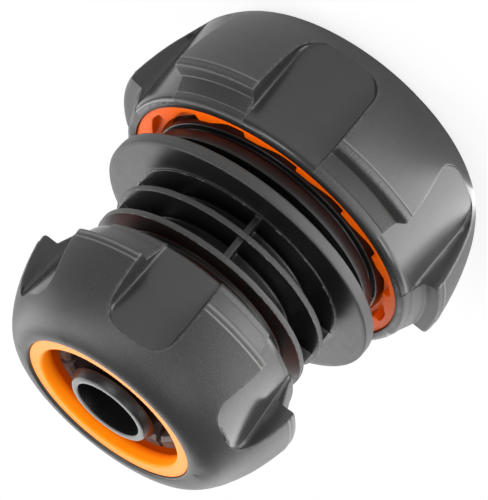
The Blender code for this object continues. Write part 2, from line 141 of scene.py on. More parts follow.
class LargeEndSizes(end_sizes(lambda small, large: large), bpy.types.PropertyGroup):
    """Sizes of the end that takes the large hose"""


class BodySizes(bpy.types.PropertyGroup):
    """Sizes of the middle of the body"""

    core_radius: length("Core", "Radius of the core between the rings", 11.8)
    ring_radius: length("Ring radius", "Radius of the two thin rings", 16.9)
    ring_thickness: length("Ring thickness", "Thickness of a thin ring", 0.9)
    ring_spacing: length("Ring spacing", "Clear space between two rings", 3.4)
    flange_inset: length("Flange inset", "Flange edge inside the large shell's side", 0.15)
    flange_thickness: length("Flange thickness", "Thickness of the wide flange", 1.8)
    face_step_radius: length("Face step radius", "Radius of the step on the flange", 16.6)
    face_step_height: length("Face step height", "Height of the step on the flange", 0.3)
    neck_radius: length("Neck radius", "Radius of the neck behind the flange", 16.4)
    neck_length: length("Neck length", "Length of the neck behind the flange", 2.3)
    collar_length: length("Collar length", "Length of the collar after the neck", 1.7)
    relief_length: length("Relief length", "Length of the groove before the thread", 0.9)
    relief_depth: length("Relief depth", "Depth of the groove before the thread", 1.0)
    web_count: bpy.props.IntProperty(
        name="Webs", description="Number of webs across the rings", default=4, min=1
    )
    web_thickness: length("Web thickness", "Thickness of a web", 0.9)
    web_inset: length("Web inset", "How far a web stops short of the ring edge", 0.7)
    web_angle: angle("Web angle", "Place of the first web", -86.5)


class Plastics(bpy.types.PropertyGroup):
    """Colours of the mouldings"""

    body: colour("Body", "Black plastic of the body", 0.0055, 0.0055, 0.0058)
    # Paler, rougher plastic on the rims of the rings and the flange.
    flash: colour("Flash", "Paler plastic along moulded edges", 0.035, 0.035, 0.0345)
    # The light grey of jagged burrs where the mould closed; on the body's neck and along the grips' lug
    # bands it is a painted highlight.
    burr_and_highlight: colour("Burr", "Light jagged lines where the mould closed", 0.22, 0.22, 0.215)
    grip: colour("Grip", "Dark grey soft plastic of the grips", 0.021, 0.021, 0.0205)
    # The paler grey of grain specks and scuffed edges; along the top rounding of the recess walls and the
    # ledge at their foot it is also a painted highlight.
    scuff_and_highlight: colour("Scuff", "Paler grey on worn edges of the grips", 0.09, 0.09, 0.088)
    insert: colour("Shell", "Orange plastic of the threaded shells", 1.0, 0.125, 0.001)
    # Shell front is a painted highlight and glow: the thin front ring is drawn yellower and brighter than
    # the shell, and this colour also feeds its emission.
    glow: colour("Shell front", "Yellower orange of the thin front ring", 1.0, 0.24, 0.003)
    # Ring face is a painted reflection: the flat front face is drawn pale peach, as where it mirrors a soft
    # white lamp.
    face: colour("Ring face", "Paler orange of the flat front face", 1.0, 0.31, 0.08)
    # Spigot tip is a painted highlight: the flat ends of the spigots are drawn pale grey.
    tip: colour("Spigot tip", "Pale grey plastic of the cut spigot tip", 0.13, 0.13, 0.13)
    collet: colour("Collet", "Dark brown-grey plastic of the collets", 0.07, 0.054, 0.05)
    grain: share("Grain", "Strength of the grain on the grips", 0.7)


class Studio(bpy.types.PropertyGroup):
    """Floor, lamps and camera"""

    floor: colour("Floor", "Colour of the floor", 0.9, 0.9, 0.9)
    floor_size: length("Floor size", "Width of the floor", 6000.0)
    floor_glow: share("Floor glow", "How much of the floor's white is its own", 0.86)
    sky: share("Sky", "Strength of the even light from all round", 0.26)
    lens: bpy.props.FloatProperty(
        name="Lens", description="Focal length of the camera", default=221.76, unit="CAMERA"
    )
    elevation: angle("Elevation", "How far the camera looks down", 22.5245)
    roll: angle("Roll", "Turn of the camera about its own axis", -140.1733)
    place: bpy.props.FloatVectorProperty(
        name="Place",
        description="Place of the camera",
        default=(-0.00029596, -0.3738779, 0.18001252),
        subtype="TRANSLATION",
    )


class MenderSettings(bpy.types.PropertyGroup):
    """All sizes and colours of the mender"""

    small: bpy.props.PointerProperty(type=SmallEndSizes)
    large: bpy.props.PointerProperty(type=LargeEndSizes)
    body: bpy.props.PointerProperty(type=BodySizes)
    plastics: bpy.props.PointerProperty(type=Plastics)
    studio: bpy.props.PointerProperty(type=Studio)


# Clearances and small forms that both ends share
FIT_GAP = 0.35 * MM
BOND_GAP = 0.3 * MM
SKIN_GAP = 0.09 * MM
SURFACE_ROOM = 0.04 * MM
LIP_LENGTH = 2.3 * MM
FACE_RECESS = 0.4 * MM
MOUTH_SLOPE = 0.2 * MM
INSERT_SHOULDER = 2.0 * MM
LUG_COUNT = 6
RIM_ROUND = 1.2 * MM
RIM_LIP = 0.7 * MM
RIM_WALL = 0.35 * MM
THREAD_CHAMFER = 0.6 * MM
THREAD_CREST = 0.28
THREAD_FLANK = 0.44

# Unevenness of the surfaces: size of its waves, their height, and where its noise starts.
# The seed keeps it the same in every run.
NOISE_SEED = 5
GRIP_SWAY = (5.0 * MM, 0.012 * MM, 3.0)
EDGE_WEAR = (1.5 * MM, 0.03 * MM, 9.0)
BODY_SWAY = (1.0 * MM, 0.018 * MM, 5.0)


class End:
    """Radii and places of one end, worked out from its sizes."""

    def __init__(self, name, sizes, front, inward):
        self.name = name
        self.size = sizes
        self.front = front
        self.inward = inward
        s = sizes
        self.root = s.bore + s.spigot_wall
        self.crest = self.root + s.barb_height
        self.finger_inner = self.crest + s.hose_space
        self.finger_outer = self.finger_inner + s.finger_thickness
        self.cup_inner = self.finger_outer + FIT_GAP
        self.thread = self.cup_inner + s.cup_wall
        self.insert_bore = self.thread + FIT_GAP
        self.insert_outer = self.insert_bore + s.insert_wall
        self.rim_radius = self.insert_outer + s.grip_wall
        self.lug_radius = self.rim_radius + s.lug_height
        self.floor_radius = self.rim_radius - s.floor_drop
        self.ring_inner = self.finger_outer - s.lip_overlap
        self.ring_outer = self.ring_inner + s.ring_width
        self.lip_back = FACE_RECESS + LIP_LENGTH
        self.cone_start = self.lip_back + FIT_GAP
        self.cone_end = self.cone_start + s.cone_length
        self.insert_shoulder = self.cone_end + INSERT_SHOULDER
        self.dome_start = self.ring_outer + BOND_GAP + MOUTH_SLOPE + s.front_flat

    def points(self, radius, angle, depth):
        """Points in the object's frame from radii, angles and depths of this end's nut."""
        across = radius * np.cos(angle)
        along = self.inward * radius * np.sin(angle)
        return np.stack(np.broadcast_arrays(across, along, self.front + self.inward * depth), -1)


def settings():
    return bpy.context.scene.mender


def small_end():
    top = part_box("small_nut_grip")[1].z
    return End("small", settings().small, top, -1)


def large_end():
    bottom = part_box("large_nut_grip")[0].z
    return End("large", settings().large, bottom, 1)


class Moulding:
    """Collects grids of points with their marks, and welds them into one mesh."""

    def __init__(self, *marks):
        self.points = []
        self.faces = []
        self.marks = {name: [] for name in marks}
        self.count = 0

    def grid(self, points, wrap_rows=False, wrap_columns=False, **marks):
        """Quads over rows and columns of points; each mark is a number or an array."""
        rows, columns = points.shape[:2]
        i, j = np.meshgrid(
            np.arange(rows if wrap_rows else rows - 1),
            np.arange(columns if wrap_columns else columns - 1),
            indexing="ij",
        )
        below, beside = (i + 1) % rows, (j + 1) % columns
        corners = (i * columns + j, i * columns + beside, below * columns + beside, below * columns + j)
        self.faces.extend((np.stack(corners, -1).reshape(-1, 4) + self.count).tolist())
        self.add_points(points.reshape(-1, 3), (rows, columns), marks)

    def add_points(self, points, shape, marks):
        self.points.append(points)
        for name, values in self.marks.items():
            values.append(np.broadcast_to(marks.get(name, 0.0), shape).reshape(-1))
        self.count += len(points)

    def polygons(self, points, faces):
        self.faces.extend([[index + self.count for index in face] for face in faces])
        self.add_points(np.asarray(points), (len(points),), {})

    def stitch(self, first, second):
        """Triangles between two closed rings of points that both run once round the axis."""
        one = first[np.argsort(np.arctan2(first[:, 1], first[:, 0]))]
        two = second[np.argsort(np.arctan2(second[:, 1], second[:, 0]))]
        angles = [np.arctan2(ring[:, 1], ring[:, 0]) for ring in (one, two)]
        a = b = 0
        faces = []
        while a < len(one) or b < len(two):
            turn = b == len(two) or (a < len(one) and angles[0][a] <= angles[1][b])
            here, there = a % len(one), len(one) + b % len(two)
            if turn:
                faces.append((here, (a + 1) % len(one), there))
                a += 1
            else:
                faces.append((here, len(one) + (b + 1) % len(two), there))
                b += 1
        self.polygons(np.concatenate([one, two]), faces)

    def build(self, name, material, roughen=None):
        """One smooth, closed object; roughen moves each point by a small vector."""
        mesh = bpy.data.meshes.new(name)
        mesh.from_pydata(np.concatenate(self.points).tolist(), [], self.faces)
        for mark, values in self.marks.items():
            layer = mesh.attributes.new(mark, "FLOAT", "POINT")
            layer.data.foreach_set("value", np.concatenate(values).astype(np.float32))
        bm = bmesh.new()
        bm.from_mesh(mesh)
        bmesh.ops.remove_doubles(bm, verts=bm.verts, dist=0.0015 * MM)
        bmesh.ops.dissolve_degenerate(bm, edges=bm.edges, dist=0.0005 * MM)
        bmesh.ops.recalc_face_normals(bm, faces=bm.faces)
        if roughen:
            noise.seed_set(NOISE_SEED)
            layers = {mark: bm.verts.layers.float[mark] for mark in self.marks}
            for vert in bm.verts:
                vert.co += roughen(vert.co, {mark: vert[layer] for mark, layer in layers.items()})
        bm.to_mesh(mesh)
        bm.free()
        mesh.shade_smooth()
        mesh.materials.append(material)
        piece = bpy.data.objects.new(name, mesh)
        bpy.context.scene.collection.objects.link(piece)
        return piece


def rounded(corners, closed=False, steps=3):
    """Outline through (x, y, cut) corners, each cut back by that length and turned."""
    count = len(corners)
    points = []
    for i, (x, y, cut) in enumerate(corners):
        here = np.array((x, y))
        if cut <= 0.0 or (not closed and i in (0, count - 1)):
            points.append(here)
            continue
        before = np.array(corners[i - 1][:2]) - here
        after = np.array(corners[(i + 1) % count][:2]) - here
        reach = min(cut, 0.48 * np.linalg.norm(before), 0.48 * np.linalg.norm(after))
        start = here + before / np.linalg.norm(before) * reach
        end = here + after / np.linalg.norm(after) * reach
        for t in np.linspace(0.0, 1.0, steps + 1):
            points.append((1.0 - t) ** 2 * start + 2.0 * t * (1.0 - t) * here + t * t * end)
    return np.array(points)


def divided(outline, spacing):
    """The outline with extra points, so that none of its steps is longer than spacing."""
    points = [outline[0]]
    for start, end in zip(outline, outline[1:]):
        steps = max(1, math.ceil(np.linalg.norm(end - start) / spacing - 1e-6))
        points.extend(start + (end - start) * step / steps for step in range(1, steps + 1))
    return np.array(points)


def bezier(start, first, second, end, count):
    t = np.linspace(0.0, 1.0, count)[:, None]
    parts = ((1 - t) ** 3, 3 * t * (1 - t) ** 2, 3 * t * t * (1 - t), t ** 3)
    return sum(part * np.array(point) for part, point in zip(parts, (start, first, second, end)))


def even(start, stop, count):
    return np.linspace(start, stop, count)


def smooth(value):
    value = np.clip(value, 0.0, 1.0)
    return value * value * (3.0 - 2.0 * value)


def wander(point, size, amount, seed):
    """A small vector that changes smoothly over the given size."""
    return noise.noise_vector(point / size + Vector((seed, 0.0, 0.0))) * amount


# Sizes of the lugs, their stepped band, the pads behind them and the recesses
RECESS_HALF_ANGLE = math.radians(14.4)
LUG_STEP_DEPTH = 0.13 * MM
LUG_STEP_WIDTH = 1.3 * MM
LUG_STEP_SLOPE = 0.08 * MM
LUG_BACK_ROUND = 0.95 * MM
PAD_ROUND = 0.22 * MM
SHARP_ROUND = 0.04 * MM
PAD_LIFT = 0.02 * MM
PAD_SLOPE = 0.05 * MM
PAD_END_HEIGHT = 0.12 * MM
PAD_END_LENGTH = 0.15 * MM
PAD_FOOT_LENGTH = 0.08 * MM
MOUTH_ROUND = 0.18 * MM
MOUTH_BEVEL = 0.2 * MM
MOUTH_DEPTH = 0.25 * MM
RIM_EDGE_ROUND = 0.12 * MM

# Fineness of the grips
DOME_ROWS = 200
REAR_SPACING = 0.45 * MM
LEG_SPACING = 0.34 * MM
CORNER_COLUMNS = 24
FRONT_COLUMNS = 8
CORE_MARGIN = 1.7 * MM
FLOOR_BLEND = 2.0 * MM
FOOT_FILLET = 0.28 * MM
TOP_ROUND = 0.24 * MM
LEDGE = 0.04 * MM
FLOOR_LINES = 3
FILLET_LINES = 5
WALL_LINES = 3
TOP_LINES = 3
OUTER_LINES = 13
OUTER_CROWDING = 1.25
WEAR_FADE = 6.0
# Widths and place of the painted highlight lines along the step of a lug's band.
CREASE_WIDTH = 0.05 * MM
BACK_CREASE = 0.5 * MM
BACK_CREASE_WIDTH = 0.07 * MM


def lug_outline(end):
    """(radius, depth) down the dome of a lug, then down its rear edge, pad and rim.

    Also gives how many rows the rim has.
    """
    s = end.size
    finish = np.array((end.lug_radius - SURFACE_ROOM, s.lug_length))
    lean = np.array((math.sin(s.lug_taper), math.cos(s.lug_taper)))
    inward = np.array((-lean[1], lean[0]))
    start = np.array((end.dome_start, 0.0))
    first = start + (s.dome_handle, 0.0)
    dome = bezier(start, first, finish - lean * s.flank_handle, finish, DOME_ROWS)
    dome = dome[np.linalg.norm(dome - finish, axis=1) > LUG_STEP_WIDTH]
    band = finish - lean * LUG_STEP_WIDTH
    sunk = inward * LUG_STEP_DEPTH
    back = s.nut_length - RIM_ROUND
    pad = end.rim_radius + s.platform_rise
    corners = [
        (*band, 0.0),
        (*(band + sunk + lean * LUG_STEP_SLOPE), SHARP_ROUND),
        (*(finish + sunk), LUG_BACK_ROUND),
        (pad + PAD_LIFT, s.lug_length + PAD_SLOPE, PAD_ROUND),
        (end.rim_radius + PAD_END_HEIGHT, back - PAD_END_LENGTH, SHARP_ROUND),
        (end.rim_radius + PAD_LIFT, back - PAD_FOOT_LENGTH, SHARP_ROUND),
        (end.rim_radius, back, 0.0),
    ]
    rear = divided(rounded(corners, steps=5), REAR_SPACING)
    turn = even(0.0, 0.5 * math.pi, 7)
    radius = end.rim_radius - RIM_LIP * (1.0 - np.cos(turn))
    rim = np.stack((radius, s.nut_length - RIM_ROUND * (1.0 - np.sin(turn))), -1)
    return dome, np.concatenate([rear, rim[1:]]), len(rim) - 1


class RecessFrame:
    """Where the edge of one finger recess runs, and how the grip's surfaces lie round it."""

    def __init__(self, end):
        s = end.size
        self.end = end
        self.reference = end.floor_radius + s.floor_rise
        self.straight = s.recess_start + s.recess_corner
        dome, rear, rim_rows = lug_outline(end)
        self.outline = np.concatenate([dome, rear])
        gaps = np.linalg.norm(np.diff(self.outline, axis=0), axis=1)
        self.run = np.concatenate([[0.0], np.cumsum(gaps)])
        self.dome = dome
        band_run = self.run[len(dome)]
        start_run = np.interp(self.straight, dome[:, 1], self.run[: len(dome)])
        rows = math.ceil((band_run - start_run) / LEG_SPACING)
        self.leg_run = np.concatenate([even(start_run, band_run, rows + 1), self.run[len(dome) + 1 :]])
        self.leg_lug = self.lug(self.leg_run)
        self.leg_floor = self.floor_rows(rows + 1, rim_rows)

    def lug(self, run):
        """(radius, depth) on the lug at the given runs from the front of the dome."""
        return np.stack([np.interp(run, self.run, self.outline[:, axis]) for axis in (0, 1)], -1)

    def run_at(self, depth):
        return np.interp(depth, self.dome[:, 1], self.run[: len(self.dome)])

    def floor(self, depth):
        s = self.end.size
        drop = (depth - s.recess_start) / (s.nut_length - s.recess_start)
        return self.end.floor_radius + s.floor_rise * (1.0 - drop)

    def floor_rows(self, dome_rows, rim_rows):
        """(radius, depth) down the middle of the recess, a row for each row of the lug."""
        s = self.end.size
        depth = self.leg_lug[:, 1].copy()
        last = len(depth) - rim_rows
        back = s.nut_length - RIM_ROUND
        depth[dome_rows - 1 : last] = even(depth[dome_rows - 1], back, last - dome_rows + 1)
        radius = self.floor(depth)
        lip = min(RIM_LIP, radius[last] - self.end.insert_outer - BOND_GAP - RIM_WALL)
        turn = even(0.0, 0.5 * math.pi, rim_rows + 1)
        radius[last - 1 :] = self.floor(back) - lip * (1.0 - np.cos(turn))
        return np.stack([radius, depth], -1)

    def half_edge(self):
        """Right half of the recess edge, from the back to the middle of the front.

        Gives its (across, depth) points, its normals, and how many leg points it has.
        """
        s = self.end.size
        half = RECESS_HALF_ANGLE * self.reference
        legs = len(self.leg_run)
        turn = even(0.0, 0.5 * math.pi, CORNER_COLUMNS + 1)[1:]
        corner = np.stack([np.cos(turn), -np.sin(turn)], -1)
        middle = np.array((half - s.recess_corner, self.straight))
        front = even(half - s.recess_corner, 0.0, FRONT_COLUMNS + 1)[1:]
        points = np.concatenate(
            [
                np.stack([np.full(legs, half), self.leg_lug[::-1, 1]], -1),
                middle + corner * s.recess_corner,
                np.stack([front, np.full(len(front), s.recess_start)], -1),
            ]
        )
        across, along = np.tile((1.0, 0.0), (legs, 1)), np.tile((0.0, -1.0), (len(front), 1))
        normals = np.concatenate([across, corner, along])
        return points, normals, legs


def wall_lines(height):
    """(offset, rise, scuffing and highlight) of each line up the wall of a recess, for walls of these
    heights. The third value marks scuffed edges and a painted highlight; it is highest on the ledge at the
    wall's foot and on the top rounding.
    """
    foot = np.minimum(FOOT_FILLET, 0.5 * height)
    top = np.minimum(TOP_ROUND, 0.3 * height)
    ledge = np.minimum(LEDGE, 0.1 * foot)
    rise = foot + 0.06 * height
    lines = []
    for part in even(0.0, 1.0, FLOOR_LINES + 1):
        lines.append((-CORE_MARGIN + part * (CORE_MARGIN - foot), 0.0 * height, 0.0))
    for turn in even(0.0, 0.5 * math.pi, FILLET_LINES + 1)[1:]:
        lines.append((foot * (math.sin(turn) - 1.0), foot * (1.0 - math.cos(turn)), 0.1))
    lines.append((ledge, foot + 0.02 * height, 0.9))
    for part in even(0.0, 1.0, WALL_LINES + 1)[1:]:
        lines.append((ledge, rise + part * (height - top - rise), 0.4 + 0.4 * part))
    for turn in even(0.0, 0.5 * math.pi, TOP_LINES + 1)[1:]:
        outward = ledge + top * (1.0 - math.cos(turn))
        lines.append((outward, height - top * (1.0 - math.sin(turn)), 1.0))
    return lines


def grip_sector(mould, end, recess, centre, side):
    """Half of one recess with half of the lug beside it.

    Gives the angles of its front ring, and the radii and angles of its back ring.
    """
    s = end.size
    edge, normal, legs = recess.half_edge()
    beyond = len(edge) - legs
    on_leg = np.arange(len(edge)) < legs
    lug_rows = np.concatenate([recess.leg_lug[::-1], np.zeros((beyond, 2))])
    floor_rows = np.concatenate([recess.leg_floor[::-1], np.zeros((beyond, 2))])
    edge_run = np.concatenate([recess.leg_run[::-1], np.zeros(beyond)])
    lug_here = np.interp(edge[:, 1], recess.dome[:, 1], recess.dome[:, 0])
    height = np.where(on_leg, lug_rows[:, 0] - floor_rows[:, 0], lug_here - recess.floor(edge[:, 1]))

    # The rim of the floor and the wall up to the lug
    lines = []
    wear_and_highlight = []
    # The third value of each line marks scuffed edges and a painted highlight.
    for offset, rise, mark in wall_lines(height):
        part = rise / height
        spot = edge + normal * np.asarray(offset)[..., None]
        depth = np.where(on_leg, floor_rows[:, 1] * (1 - part) + lug_rows[:, 1] * part, spot[:, 1])
        lug = np.where(on_leg, lug_rows[:, 0], np.interp(depth, recess.dome[:, 1], recess.dome[:, 0]))
        floor = np.where(on_leg, floor_rows[:, 0], recess.floor(depth))
        lines.append(np.stack([floor * (1 - part) + lug * part, spot[:, 0] / recess.reference, depth], -1))
        wear_and_highlight.append(np.full(len(edge), mark))
    wall_count = len(lines)

    # From the top of the wall over the lug to its middle and to the front of the dome
    last = lines[-1]
    top_run = np.where(on_leg, edge_run, recess.run_at(last[:, 2]))
    half_pitch = math.pi / LUG_COUNT
    corner_half = CORNER_COLUMNS // 2
    side_run = recess.leg_run[0] * even(1.0, 0.0, corner_half + 1)[1:]
    front_count = beyond - corner_half
    far_run = np.concatenate([recess.leg_run[::-1], side_run, np.zeros(front_count)])
    far_angle = np.concatenate(
        [np.full(legs + corner_half, half_pitch), even(half_pitch, 0.0, front_count + 1)[1:]]
    )
    for part in even(0.0, 1.0, OUTER_LINES + 1)[1:] ** OUTER_CROWDING:
        run = top_run * (1 - part) + far_run * part
        turn = last[:, 1] * (1 - part) + far_angle * part
        lug = recess.lug(run)
        lines.append(np.stack([lug[:, 0], turn, lug[:, 1]], -1))
        wear_and_highlight.append(np.full(len(edge), max(0.0, 1.0 - part * WEAR_FADE)))
    block = np.stack(lines, 1)
    band_start = recess.run[len(recess.dome)]
    ridge = band_start + LUG_STEP_WIDTH
    banded = on_leg & (edge_run > band_start + 0.01 * MM) & (edge_run < ridge)
    # Painted highlight: thin light lines where the stepped band starts, and on the small lugs a second line
    # near the back edge.
    painted_crease_lines = on_leg & (np.abs(edge_run - band_start) < CREASE_WIDTH)
    if end.name == "small":
        painted_crease_lines |= on_leg & (np.abs(edge_run - ridge + BACK_CREASE) < BACK_CREASE_WIDTH)
    recessed = np.zeros(block.shape[:2])
    recessed[:, : wall_count - TOP_LINES] = 1.0
    mould.grid(
        end.points(block[..., 0], centre + side * block[..., 1], block[..., 2]),
        recess=recessed,
        edge=np.stack(wear_and_highlight, 1),
        band=banded[:, None] * (1.0 - recessed) * s.comb,
        crease=painted_crease_lines[:, None] * (1.0 - recessed),
    )

    # The floor between the two walls
    rows = legs + corner_half
    right = block[:rows, 0]
    front = block[rows - 1 :, 0][::-1]
    columns = len(front) - 1
    tip = front[0, 2]
    left_depth = np.concatenate([right[:legs, 2], even(recess.straight, tip, corner_half + 1)[1:]])
    zone = recess.straight + FLOOR_BLEND
    y = np.clip((zone - left_depth) / (zone - tip), 0.0, 1.0)[:, None]
    x = even(0.0, 1.0, columns + 1)[None, :]
    turn = x * right[:, 1, None] + y * (front[None, :, 1] - x * front[-1, 1])
    depth = (1 - x) * left_depth[:, None] + x * right[:, 2, None]
    depth = depth + y * (front[None, :, 2] - (1 - x) * front[0, 2] - x * front[-1, 2])
    radius = np.where(y > 0.0, recess.floor(depth), right[:, 0, None])
    mould.grid(end.points(radius, centre + side * turn, depth), recess=1.0, edge=0.0)

    front_ring = centre + side * block[rows - 1 :, -1, 1]
    back = np.concatenate([np.stack([radius[0], turn[0]], -1), block[0, 1:, :2]])
    return front_ring, np.stack([back[:, 0], centre + side * back[:, 1]], -1)


def ring_of(halves):
    """Joins half sectors into one ring sorted by angle, without its doubled points."""
    ring = np.concatenate(halves)
    turn = np.mod(ring[:, 1] + 1e-7, TURN)
    order = np.argsort(turn)
    ring, turn = ring[order], turn[order]
    keep = np.concatenate([[True], np.diff(turn) > 1e-6])
    return ring[keep]


def grip_mesh(end, material, name):
    """Soft grip: a dome that spreads into lugs, with filleted recesses between them."""
    s = end.size
    recess = RecessFrame(end)
    mould = Moulding("recess", "edge", "band", "crease")
    fronts, backs = [], []
    for index in range(LUG_COUNT):
        centre = s.recess_angle + index * TURN / LUG_COUNT
        for side in (1, -1):
            front, back = grip_sector(mould, end, recess, centre, side)
            fronts.append(np.stack([np.full(len(front), end.dome_start), front], -1))
            backs.append(back)
    front, back = ring_of(fronts), ring_of(backs)

    # The mouth and the bore, down to where the bore from the back meets it
    mouth = end.ring_outer + SKIN_GAP
    inner = end.insert_outer + SKIN_GAP
    bore_front = end.insert_shoulder + 0.5 * MM
    bore_back = 0.4 * s.nut_length
    lip = rounded(
        [
            (end.dome_start, 0.0, 0.0),
            (mouth + MOUTH_BEVEL, 0.1 * MOUTH_BEVEL, MOUTH_ROUND),
            (mouth, MOUTH_DEPTH, 0.1 * MM),
            (mouth, FACE_RECESS + 0.5 * LIP_LENGTH, 0.0),
            (inner, end.insert_shoulder, 0.0),
            (inner, bore_front, 0.0),
        ]
    )
    points = end.points(lip[:, 0, None], front[None, :, 1], lip[:, 1, None])
    mould.grid(points, wrap_columns=True, edge=0.2)

    # (share of the way from the rim in to the bore, depth) from the back inward
    inside = rounded([(0.0, s.nut_length, 0.0), (1.0, s.nut_length, RIM_EDGE_ROUND), (1.0, bore_back, 0.0)])
    radius = back[None, :, 0] * (1.0 - inside[:, 0, None]) + inner * inside[:, 0, None]
    mould.grid(end.points(radius, back[None, :, 1], inside[:, 1, None]), wrap_columns=True, recess=0.5)
    mould.stitch(
        end.points(np.full(len(front), inner), front[:, 1], bore_front),
        end.points(np.full(len(back), inner), back[:, 1], bore_back),
    )

    def roughen(point, marks):
        if math.hypot(point.x, point.y) < inner + 0.2 * MM:
            return Vector()
        return wander(point, *GRIP_SWAY) + wander(point, *EDGE_WEAR) * marks["edge"] ** 2

    return mould.build(name, material, roughen)


# Sizes of the shells' rings, threads and ratchets
RING_ROUND = 0.75 * MM
RING_EDGE = 0.12 * MM
RING_DISH = 0.08 * MM
SHELL_ROUND = 0.15 * MM
CONE_ROUND = 0.2 * MM
LIP_BACK_ROUND = 0.3 * MM
THREAD_FADE = 1.2 * MM
NUT_THREAD_SHARE = 0.85
NUT_THREAD_POWER = 1.5
RATCHET_COUNT = 15
RATCHET_INSET = 0.7 * MM
RATCHET_DEPTH = 1.2 * MM
RATCHET_LENGTH = 1.4 * MM
RATCHET_BEVEL = 0.07 * MM
RATCHET_FLOOR_ANGLE = math.radians(7.3)
RATCHET_RAMP_ANGLE = math.radians(10.1)
RATCHET_START_ANGLE = math.radians(-86.5)
NOTCH_LEAN = 0.05 * MM
NOTCH_ROUND = 0.2 * MM
NOTCH_RAMP_ROUND = 0.5 * MM
TOOTH_ROUND = 0.3 * MM
TOOTH_RAMP_ROUND = 0.6 * MM
# Reach of the front ring's painted highlight and glow, and of the flat front face's painted reflection.
FRONT_DEPTH = 1.4 * MM
FRONT_FADE = 1.0 * MM
FACE_DEPTH = FACE_RECESS + 0.15 * MM
FACE_INSET = 0.2 * MM
FACE_FADE = 0.25 * MM

# Fineness of the turned pieces
BODY_COLUMNS = 140
THREAD_SPACING = 0.24 * MM
TOOTH_SPACING = 0.55 * MM


def thread_wave(end, angle, height):
    """How deep in the thread's groove a place is, from 0 on the crest to 1 at the root."""
    phase = height / end.size.thread_lead - angle / TURN
    wave = 0.5 - 0.5 * np.cos(TURN * phase)
    return smooth((wave - THREAD_CREST) / THREAD_FLANK)


def tooth_line(tooth_radius):
    """One ratchet tooth, unrolled: (run along the ring, radius), and the radius it is rolled on."""
    scale = tooth_radius + 0.5 * RATCHET_DEPTH
    pitch = TURN / RATCHET_COUNT
    floor_end = RATCHET_FLOOR_ANGLE
    ramp_end = floor_end + RATCHET_RAMP_ANGLE
    land = pitch - ramp_end
    notch = tooth_radius + RATCHET_DEPTH
    corners = [
        (-0.5 * land * scale, tooth_radius, 0.0),
        (0.0, tooth_radius, TOOTH_ROUND),
        (NOTCH_LEAN, notch, NOTCH_ROUND),
        (floor_end * scale, notch, NOTCH_RAMP_ROUND),
        (ramp_end * scale, tooth_radius, TOOTH_RAMP_ROUND),
        ((ramp_end + 0.5 * land) * scale, tooth_radius, 0.0),
    ]
    return divided(rounded(corners, steps=3), TOOTH_SPACING), scale


